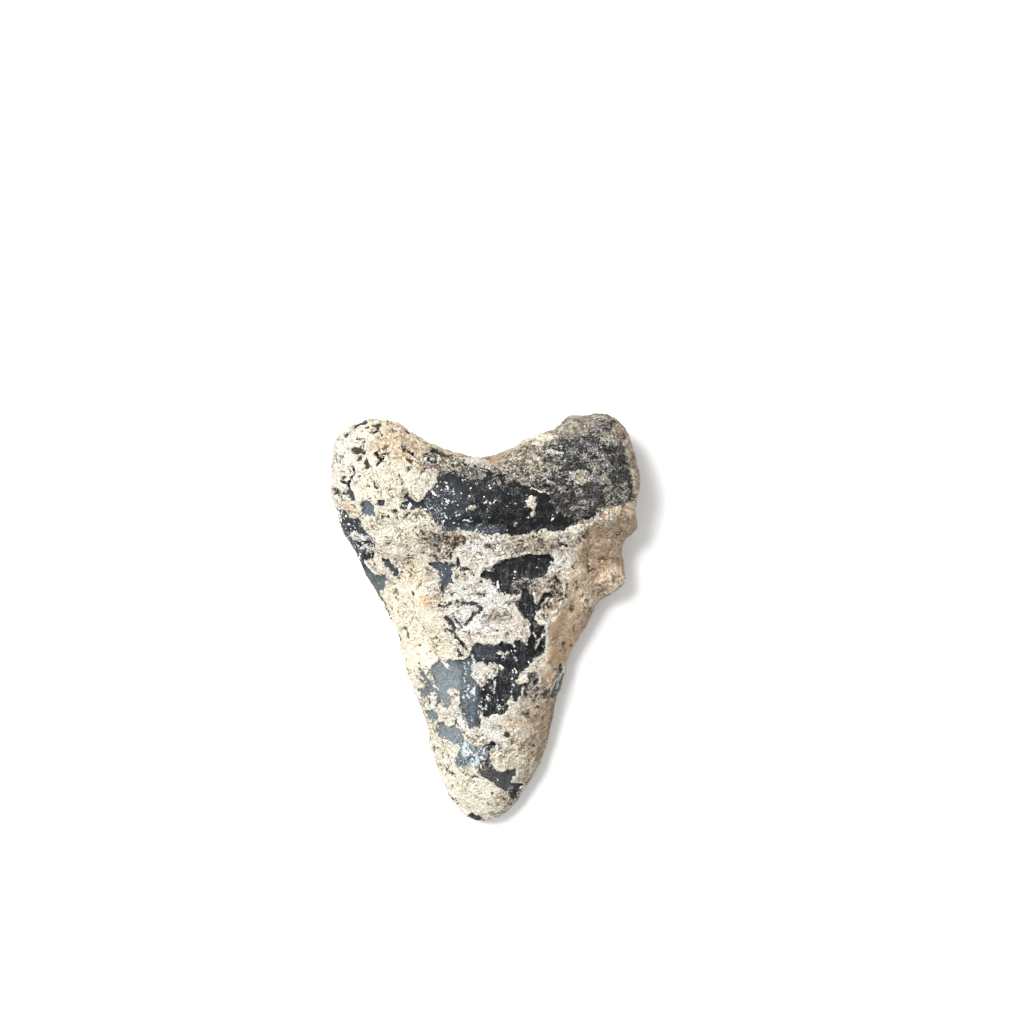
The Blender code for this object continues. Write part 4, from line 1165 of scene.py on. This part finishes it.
def thin_out(piece):
    """Thins a piece out to about MOST_TRIANGLES triangles. Brings a piece down to the
    triangles that it may have.
    """
    thin = piece.modifiers.new("fewer triangles", "DECIMATE")
    piece.data.calc_loop_triangles()
    thin.ratio = MOST_TRIANGLES / len(piece.data.loop_triangles)
    thinned = evaluated(piece)
    piece.modifiers.clear()
    piece.data = thinned


def tooth_surface(node):
    """The tooth with all its fine relief, and its marks written on the mesh for the material to read."""
    surface = Surface(node)
    surface.smooth(SMOOTHING_ROUNDS)
    points = surface.points()
    normals = surface.normals()
    found = fields(points, normals)
    carved = points + normals * relief(points, normals, found)[:, None]
    carved[:, 2] = np.maximum(carved[:, 2], 0.0)
    surface.move(carved)
    write_fields(surface.mesh, found)
    piece = bpy.data.objects.new("tooth_surface", surface.mesh)
    bpy.context.scene.collection.objects.link(piece)
    thin_out(piece)
    piece.data.transform(Matrix.Scale(MILLIMETRE, 4))
    piece.data.shade_smooth()
    return piece


class Shader:
    """Short ways to make the nodes of one material. Sizes are in millimetres."""

    def __init__(self, name):
        self.material = bpy.data.materials.new(name)
        self.material.use_nodes = True
        self.tree = self.material.node_tree
        self.surface = self.tree.nodes["Principled BSDF"]
        place = self.tree.nodes.new("ShaderNodeTexCoord").outputs["Object"]
        self.place = self.vector("SCALE", place, Scale=1 / MILLIMETRE)

    def fill(self, socket, value):
        if isinstance(value, bpy.types.NodeSocket):
            self.tree.links.new(value, socket)
        else:
            socket.default_value = value

    def vector(self, operation, *values, **named):
        made = self.tree.nodes.new("ShaderNodeVectorMath")
        made.operation = operation
        for socket, value in zip(made.inputs, values):
            self.fill(socket, value)
        for name, value in named.items():
            self.fill(made.inputs[name], value)
        return made.outputs["Vector"]

    def attribute(self, name, output="Fac"):
        made = self.tree.nodes.new("ShaderNodeAttribute")
        made.attribute_name = name
        return made.outputs[output]

    def shifted(self, seed, stretch=(1.0, 1.0, 1.0)):
        """The place on the tooth, moved so that a pattern with another seed falls elsewhere."""
        return self.vector("MULTIPLY_ADD", self.place, stretch, (seed, 2.3 * seed, -1.7 * seed))

    def slanted(self, seed, angle, stretch):
        """The place on the tooth, so that a pattern comes out drawn long in the direction of that angle."""
        made = self.tree.nodes.new("ShaderNodeMapping")
        made.vector_type = "TEXTURE"
        self.fill(made.inputs["Vector"], self.shifted(seed))
        made.inputs["Rotation"].default_value = (0.0, 0.0, math.radians(angle))
        made.inputs["Scale"].default_value = (stretch, 1.0, 1.0)
        return made.outputs["Vector"]

    def noise(self, size, seed=0.0, detail=2.0, roughness=0.6, distortion=0.0, place=None, output="Fac"):
        """Noise from about 0 to 1 with features of that size. Distortion makes them curl."""
        made = self.tree.nodes.new("ShaderNodeTexNoise")
        self.fill(made.inputs["Vector"], place or self.shifted(seed))
        self.fill(made.inputs["Scale"], 1 / size)
        self.fill(made.inputs["Detail"], detail)
        self.fill(made.inputs["Roughness"], roughness)
        self.fill(made.inputs["Distortion"], distortion)
        return made.outputs[output]

    def cells(self, size, place):
        """A mosaic of cells of that size."""
        made = self.tree.nodes.new("ShaderNodeTexVoronoi")
        self.fill(made.inputs["Vector"], place)
        self.fill(made.inputs["Scale"], 1 / size)
        apart = self.tree.nodes.new("ShaderNodeSeparateColor")
        self.fill(apart.inputs["Color"], made.outputs["Color"])
        return Cells(made.outputs["Distance"], apart.outputs["Red"], apart.outputs["Green"])

    def calc(self, operation, *values):
        made = self.tree.nodes.new("ShaderNodeMath")
        made.operation = operation
        for socket, value in zip(made.inputs, values):
            self.fill(socket, value)
        return made.outputs["Value"]

    def plus(self, first, second):
        return self.calc("ADD", first, second)

    def minus(self, first, second):
        return self.calc("SUBTRACT", first, second)

    def times(self, first, second):
        return self.calc("MULTIPLY", first, second)

    def larger(self, first, second):
        return self.calc("MAXIMUM", first, second)

    def scaled(self, value, factor, added):
        """The value times the factor, with something added to it."""
        return self.calc("MULTIPLY_ADD", value, factor, added)

    def band(self, value, low, high, out_low=0.0, out_high=1.0):
        """out_low where the value is at low, changing smoothly to out_high where it is at high."""
        made = self.tree.nodes.new("ShaderNodeMapRange")
        made.interpolation_type = "SMOOTHSTEP"
        self.fill(made.inputs["Value"], value)
        self.fill(made.inputs["From Min"], low)
        self.fill(made.inputs["From Max"], high)
        self.fill(made.inputs["To Min"], out_low)
        self.fill(made.inputs["To Max"], out_high)
        return made.outputs["Result"]

    def line(self, value, middle, half_width):
        """1 where the value is at the middle, and 0 further than half_width from it."""
        off = self.calc("ABSOLUTE", self.minus(value, middle))
        return self.band(off, half_width, 0.4 * half_width)

    def mix(self, share, first, second, blend="MIX"):
        """The first colour, covered by the second to that share."""
        made = self.tree.nodes.new("ShaderNodeMix")
        made.data_type = "RGBA"
        made.blend_type = blend
        colours = [socket for socket in made.inputs if socket.type == "RGBA"]
        self.fill(made.inputs[0], share)
        self.fill(colours[0], first)
        self.fill(colours[1], second)
        return next(socket for socket in made.outputs if socket.type == "RGBA")

    def cover(self, colour, paint, where, strength=None):
        """The colour, covered by an sRGB paint where that is 1, to that strength."""
        share = where if strength is None else self.times(where, strength)
        return self.mix(share, colour, (*linear(paint), 1.0))

    def brighten(self, colour, factor):
        return self.vector("SCALE", colour, Scale=factor)

    def bump(self, height, depth, normal=None):
        """A bump whose full height is that depth."""
        made = self.tree.nodes.new("ShaderNodeBump")
        self.fill(made.inputs["Height"], height)
        self.fill(made.inputs["Distance"], depth * MILLIMETRE)
        if normal is not None:
            self.fill(made.inputs["Normal"], normal)
        return made.outputs["Normal"]


class ToothShader(Shader):
    """The tooth's shader, with the marks written on the mesh and the patterns that its parts share."""

    def __init__(self):
        super().__init__("crusted tooth")
        self.read_marks()
        self.make_patterns()
        self.make_cells()
        self.make_strokes()

    def read_marks(self):
        self.bare = self.attribute("bare")
        self.pit = self.attribute("pit")
        self.paint = self.attribute("paint")
        self.grime = self.attribute("grime")
        self.mottle = self.attribute("mottle")
        self.dark_share = self.attribute("dark_share")
        self.specks = self.attribute("specks")
        self.scratch = self.attribute("scratch")
        self.streaky = self.attribute("streaky")
        self.lump = self.attribute("lump")
        self.rugged = self.attribute("rugged")

    def make_patterns(self):
        """Soft patterns from 0 to 1, from broad to fine, and noises whose contours curl."""
        noise, band = self.noise, self.band
        self.clouds = band(noise(size=3.2, seed=1.0, detail=2.0), 0.3, 0.7)
        self.busy = band(noise(size=3.4, seed=31.0, detail=1.0), 0.44, 0.62)
        self.patches = band(noise(size=1.9, seed=2.0, detail=1.5), 0.3, 0.7)
        self.flakes = band(noise(size=1.15, seed=3.0, roughness=0.55, distortion=1.2), 0.3, 0.7)
        self.fine = band(noise(size=0.6, seed=4.0, detail=1.0, distortion=0.7), 0.3, 0.7)
        self.grit = band(noise(size=0.42, seed=9.0, detail=1.5, distortion=0.5), 0.34, 0.66)
        self.sand = band(noise(size=0.27, seed=11.0, detail=0.0), 0.32, 0.68)
        self.curls = noise(size=1.3, seed=5.0, detail=1.5, distortion=1.6)
        self.finer_curls = noise(size=0.8, seed=6.0, detail=1.0, distortion=1.5)

    def make_cells(self):
        """Mosaics of cells with bent borders, and spots and flecks at the middles of some cells."""
        drift = self.vector("SUBTRACT", self.noise(size=0.9, seed=7.0, output="Color"), (0.5, 0.5, 0.5))
        warped = self.vector("MULTIPLY_ADD", drift, (1.6, 1.6, 1.6), self.place)
        self.grains = self.cells(0.55, warped)
        self.plates = self.cells(1.5, warped)
        spots = self.cells(1.7, warped)
        spot = self.band(self.minus(self.times(spots.hue, 0.24), spots.off), -0.02, 0.03)
        self.spots = self.times(spot, self.band(spots.chance, 0.74, 0.78))
        flecks = self.cells(0.95, warped)
        self.fleck_chance = flecks.chance
        fleck_reach = self.scaled(flecks.hue, 0.25, 0.06)
        self.flecks = self.band(self.minus(fleck_reach, flecks.off), -0.02, 0.04)

    def make_strokes(self):
        """Short thin strokes in all directions, and long fine threads."""
        self.dark_strokes = self.larger(self.strokes(1.0, 21.0, 0.08), self.strokes(0.7, 23.0, 0.1))
        self.light_strokes = self.larger(self.strokes(1.1, 25.0, 0.08), self.strokes(0.7, 27.0, 0.11))
        self.threads = self.larger(self.line(self.curls, 0.5, 0.022), self.line(self.finer_curls, 0.5, 0.026))

    def strokes(self, size, seed, half_width):
        """The middles of a noise's contours, cut into short pieces."""
        winding = self.noise(size, seed=seed, detail=1.0, distortion=1.3)
        kept = self.band(self.noise(0.8 * size, seed=seed + 1.0, detail=0.0), 0.55, 0.6)
        return self.times(self.line(winding, 0.5, half_width), kept)


def chalk_with_painted_light_and_shade(look, low):
    """The crust's colour, whiter as a painted highlight where it stands high and darker as painted shade
    where it is low, with light and dark grains.
    """
    times, minus, scaled, band = look.times, look.minus, look.scaled, look.band
    crust = look.attribute("crust_colour", "Color")
    # Painted highlight: white over the high places of the crust.
    crust = look.cover(crust, WHITE, band(look.rugged, 0.5, 1.0, 0.1, 1.0), band(low, 0.5, 0.85, 0.0, 0.5))
    shade = scaled(minus(look.grains.chance, 0.5), scaled(look.grime, 0.8, 0.03), 1.03)
    # Painted shade: the low places of the crust are darkened.
    shade = times(shade, band(low, 0.0, 0.4, 0.86, 1.0))
    shade = scaled(minus(look.sand, 0.5), scaled(look.grime, 0.6, 0.18), shade)
    shade = scaled(minus(look.grit, 0.6), scaled(look.grime, 0.45, 0.14), shade)
    return look.brighten(crust, shade)


def stained(look, crust, busy):
    """The crust with yellow and grey stains, and grains of other colours where it is grimy."""
    times, band = look.times, look.band
    stain = look.mix(look.plates.hue, opaque(STAIN_YELLOW), opaque(STAIN_GREY))
    crust = look.mix(times(busy, band(look.patches, 0.4, 0.85, 0.0, 0.55)), crust, stain, "MULTIPLY")
    tint = look.mix(look.grains.hue, opaque(YELLOW_BROWN), opaque(PINK_GREY))
    crust = look.mix(times(look.grime, band(look.plates.hue, 0.4, 0.8, 0.0, 0.6)), crust, tint)
    return look.cover(crust, WHITE, look.grime, band(look.grains.hue, 0.76, 0.8, 0.0, 0.8))


def hollowed(look, crust, low):
    """The crust with brown grime in its hollows, deepest in the lowest of them."""
    minus, scaled, band = look.minus, look.scaled, look.band
    level = scaled(look.grime, 0.43, -0.06)
    hollow = band(minus(low, level), 0.10, -0.06)
    crust = look.cover(crust, HOLLOW_BROWN, hollow, 0.6)
    lowest = scaled(look.grit, 0.2, scaled(look.fine, 0.25, low))
    return look.cover(crust, DEEP_BROWN, band(minus(lowest, level), 0.16, 0.06), 0.9)


def crust_colour(look):
    """Chalky sea crust, with its stains, hollows, cracks, spots and strokes, and a painted highlight as a
    pale rim along its edges.
    """
    times, scaled, band, cover = look.times, look.scaled, look.band, look.cover
    busy = times(look.larger(look.busy, look.grime), look.rugged)
    low = scaled(look.flakes, 0.6, scaled(look.clouds, 0.25, times(look.lump, 0.45)))
    crust = hollowed(look, stained(look, chalk_with_painted_light_and_shade(look, low), busy), low)
    crack = times(look.line(look.curls, 0.42, 0.018), times(look.rugged, band(look.clouds, 0.62, 0.75)))
    crust = cover(crust, DEEP_BROWN, crack, 0.7)
    crust = cover(crust, DEEP_BROWN, look.spots, 0.85)
    crust = cover(crust, WHITE, look.light_strokes, times(look.grime, 0.6))
    crust = cover(crust, DEEP_BROWN, look.dark_strokes, times(busy, 0.8))
    # Painted highlight: a white rim along the crust's edges.
    rim = times(band(look.bare, -0.6, -0.3), times(look.rugged, band(look.flakes, 0.2, 0.5)))
    return cover(crust, WHITE, rim, 0.5)


def enamel_colour(look):
    """Bare dark tooth: streaked up the crown, and dusted with haze, fibres, flecks and scratches."""
    plus, minus, times, scaled = look.plus, look.minus, look.times, look.scaled
    band, cover = look.band, look.cover
    enamel = look.attribute("bare_colour", "Color")
    speckle = times(band(look.grit, 0.0, 1.0, 0.85, 1.15), band(look.sand, 0.0, 1.0, 0.8, 1.2))
    enamel = look.brighten(enamel, times(band(look.fine, 0.1, 0.9, 0.88, 1.12), speckle))
    streaks = look.noise(0.5, detail=3.0, roughness=0.7, place=look.shifted(8.0, stretch=(1.0, 0.14, 1.0)))
    enamel = cover(enamel, BLUE_GREY, band(streaks, 0.5, 0.7), times(look.streaky, 0.28))
    dust = band(scaled(look.grit, 0.5, times(look.sand, 0.5)), 0.5, 0.8)
    haze = times(dust, times(look.specks, band(look.clouds, 0.3, 0.8, 0.2, 0.6)))
    enamel = cover(enamel, DUST_GREY, haze, 0.8)
    fibre = times(look.line(look.finer_curls, 0.52, 0.04), band(look.patches, 0.4, 0.7))
    enamel = cover(enamel, FIBRE_GREY, fibre, scaled(look.specks, 0.75, 0.03))
    rarity = scaled(look.specks, -0.18, 0.985)
    enamel = cover(enamel, FLECK_WHITE, look.flecks, band(look.fleck_chance, rarity, plus(rarity, 0.02)))
    rarity = scaled(look.specks, -0.14, 1.01)
    tiny = band(look.cells(0.34, look.place).chance, rarity, plus(rarity, 0.01))
    enamel = cover(enamel, FLECK_WHITE, tiny, band(look.fine, 0.0, 0.9, 0.1, 0.8))
    enamel = cover(enamel, PIT_BLACK, look.dark_strokes, scaled(look.specks, 0.5, 0.1))
    torn_scratch = scaled(minus(look.fine, 0.5), 0.5, look.scratch)
    return cover(enamel, FIBRE_GREY, band(torn_scratch, -0.04, 0.10, 0.0, 0.85))


def mixed_colour(look):
    """Fine slanting threads and flakes of crust over dark tooth, for the places where the two are mixed."""
    minus, times, scaled, larger = look.minus, look.times, look.scaled, look.larger
    band, line, cover = look.band, look.line, look.cover
    flakes = look.noise(0.75, detail=2.0, distortion=1.0, place=look.slanted(41.0, SLANT, 2.2))
    curls = look.noise(0.7, detail=1.5, distortion=1.4, place=look.slanted(42.0, SLANT, 1.7))
    finer_curls = look.noise(0.5, detail=1.0, distortion=1.2, place=look.slanted(43.0, SLANT, 1.7))
    light_at = scaled(minus(look.clouds, 0.5), -0.25, scaled(look.dark_share, 0.25, 0.55))
    height = scaled(look.patches, 0.4, times(look.grains.chance, 0.15))
    over = minus(scaled(band(flakes, 0.3, 0.7), 0.45, height), light_at)
    mixed = look.mix(band(over, -0.3, 0.0), opaque(MIXED_BLACK), opaque(MIXED_SLATE))
    light = look.attribute("mixed_colour", "Color")
    grains = look.brighten(light, band(look.grains.hue, 0.0, 1.0, 0.75, 1.25))
    mixed = look.mix(band(over, -0.04, 0.08, 0.0, 0.9), mixed, grains)
    light_threads = larger(line(curls, 0.5, 0.05), line(finer_curls, 0.5, 0.06))
    thread_share = times(band(over, -0.25, 0.05, 0.2, 1.0), light_threads)
    mixed = look.mix(thread_share, mixed, cover(light, WHITE, 0.5))
    dark_threads = larger(line(curls, 0.38, 0.05), line(finer_curls, 0.62, 0.06))
    mixed = cover(mixed, PIT_BLACK, dark_threads, 0.8)
    speckle = times(band(look.grit, 0.0, 1.0, 0.65, 1.35), band(look.sand, 0.0, 1.0, 0.7, 1.3))
    mixed = look.brighten(mixed, speckle)
    return cover(mixed, FLECK_WHITE, look.flecks, band(look.fleck_chance, 0.9, 0.92))


def bare_share(look):
    """1 on the bare tooth and 0 on the crust, with a ragged border between."""
    ragged = look.scaled(look.flakes, 0.4, look.times(look.fine, 0.3))
    ragged = look.plus(look.minus(ragged, 0.35), look.bare)
    ragged = look.scaled(look.minus(look.grains.chance, 0.5), -0.35, ragged)
    return look.band(ragged, -0.04, 0.04)


def mottled_share(look):
    """1 where crust and tooth are mixed."""
    wander = look.scaled(look.flakes, 0.35, look.times(look.patches, 0.5))
    return look.band(look.plus(look.minus(wander, 0.43), look.mottle), 0.44, 0.56)


def with_pits(look, colour):
    """The colour, with dark pits over it."""
    pitted = look.scaled(look.minus(look.fine, 0.5), 0.2, look.pit)
    pit_colour = look.mix(look.band(look.fine, 0.55, 0.85), opaque(PIT_BLACK), opaque(PIT_GREY))
    return look.mix(look.band(pitted, -0.08, 0.04, 0.0, 0.95), colour, pit_colour)


def with_paint(look, colour):
    """The colour, with the small painted marks over it."""
    torn = look.scaled(look.grit, 0.15, look.times(look.fine, 0.25))
    torn = look.plus(look.minus(torn, 0.22), look.paint)
    paint = look.attribute("paint_colour", "Color")
    paint = look.brighten(paint, look.band(look.flakes, 0.1, 0.9, 0.75, 1.05))
    return look.mix(look.band(torn, -0.05, 0.05, 0.0, 0.85), colour, paint)


def finest_relief(look, bareness, mottled):
    """The normal, bent by relief too fine for the mesh and by the step at the crust's edge."""
    minus, times, scaled = look.minus, look.times, look.scaled
    crusted = minus(1.0, bareness)
    height = scaled(look.flakes, 0.5, times(look.fine, 0.2))
    height = scaled(look.grit, 0.1, height)
    height = scaled(look.sand, times(look.grime, 0.15), height)
    height = scaled(minus(look.light_strokes, look.dark_strokes), 0.2, height)
    height = scaled(look.plates.chance, 0.25, height)
    height = scaled(times(look.grains.chance, look.grime), 0.4, height)
    height = scaled(look.threads, 0.15, height)
    height = scaled(look.spots, -0.5, height)
    rough = scaled(look.larger(crusted, mottled), 0.88, 0.12)
    height = times(height, times(rough, look.rugged))
    return look.bump(crusted, EDGE_BUMP, look.bump(height, BUMP))


def opaque(colour):
    return (*linear(colour), 1.0)


def tooth_material():
    """Crust over dark enamel, told apart by the marks written on the mesh."""
    look = ToothShader()
    bareness = bare_share(look)
    mottled = mottled_share(look)
    colour = look.mix(bareness, crust_colour(look), enamel_colour(look))
    colour = look.mix(mottled, colour, mixed_colour(look))
    colour = with_paint(look, with_pits(look, colour))
    roughness = look.band(bareness, 0.0, 1.0, CRUST_ROUGHNESS, ENAMEL_ROUGHNESS)
    look.fill(look.surface.inputs["Base Color"], colour)
    look.fill(look.surface.inputs["Roughness"], roughness)
    look.surface.inputs["Specular IOR Level"].default_value = GLOSS
    look.fill(look.surface.inputs["Normal"], finest_relief(look, bareness, mottled))
    return look.material


def table_top():
    """A plain pale table for the tooth to lie on."""
    half = TABLE_HALF_WIDTH * MILLIMETRE
    corners = [(-half, -half, 0), (half, -half, 0), (half, half, 0), (-half, half, 0)]
    mesh = bpy.data.meshes.new("table top")
    mesh.from_pydata(corners, [], [(0, 1, 2, 3)])
    floor = bpy.data.objects.new("table_top", mesh)
    bpy.context.scene.collection.objects.link(floor)
    material = bpy.data.materials.new("pale table")
    material.use_nodes = True
    shader = material.node_tree.nodes["Principled BSDF"]
    shader.inputs["Base Color"].default_value = TABLE_COLOUR
    shader.inputs["Roughness"].default_value = TABLE_ROUGHNESS
    mesh.materials.append(material)


def studio_light():
    """An even white sky, and one soft square lamp that faces the tooth from the upper left."""
    world = bpy.data.worlds.new("studio")
    world.use_nodes = True
    sky = world.node_tree.nodes["Background"]
    sky.inputs["Color"].default_value = (1.0, 1.0, 1.0, 1.0)
    sky.inputs["Strength"].default_value = SKY_STRENGTH
    bpy.context.scene.world = world
    lamp = bpy.data.lights.new("key", "AREA")
    lamp.size = KEY_SIZE * MILLIMETRE
    lamp.energy = KEY_POWER
    light = bpy.data.objects.new("key", lamp)
    light.location = Vector(KEY_PLACE) * MILLIMETRE
    light.rotation_euler = (Vector(KEY_AIM) - Vector(KEY_PLACE)).to_track_quat("-Z", "Y").to_euler()
    bpy.context.scene.collection.objects.link(light)
    bpy.context.scene.view_settings.view_transform = "Standard"


def camera():
    """Looks straight down, with the tooth a little left of and below the middle of the picture."""
    lens = bpy.data.cameras.new("camera")
    lens.lens = LENS
    lens.sensor_width = SENSOR
    lens.clip_start = CLIP_START * MILLIMETRE
    eye = bpy.data.objects.new("camera", lens)
    eye.location = Vector(CAMERA_PLACE) * MILLIMETRE
    bpy.context.scene.collection.objects.link(eye)
    bpy.context.scene.camera = eye


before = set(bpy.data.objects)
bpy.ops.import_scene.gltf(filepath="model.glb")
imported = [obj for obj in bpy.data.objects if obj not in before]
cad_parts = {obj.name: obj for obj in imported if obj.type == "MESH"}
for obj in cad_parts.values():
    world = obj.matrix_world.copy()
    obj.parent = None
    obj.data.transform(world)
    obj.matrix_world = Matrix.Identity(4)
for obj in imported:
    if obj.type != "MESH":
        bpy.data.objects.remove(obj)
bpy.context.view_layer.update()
camera()
studio_light()
table_top()
tooth = tooth_surface(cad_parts["tooth"])
tooth.data.materials.clear()
tooth.data.materials.append(tooth_material())
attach(tooth, "root")
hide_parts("tooth")
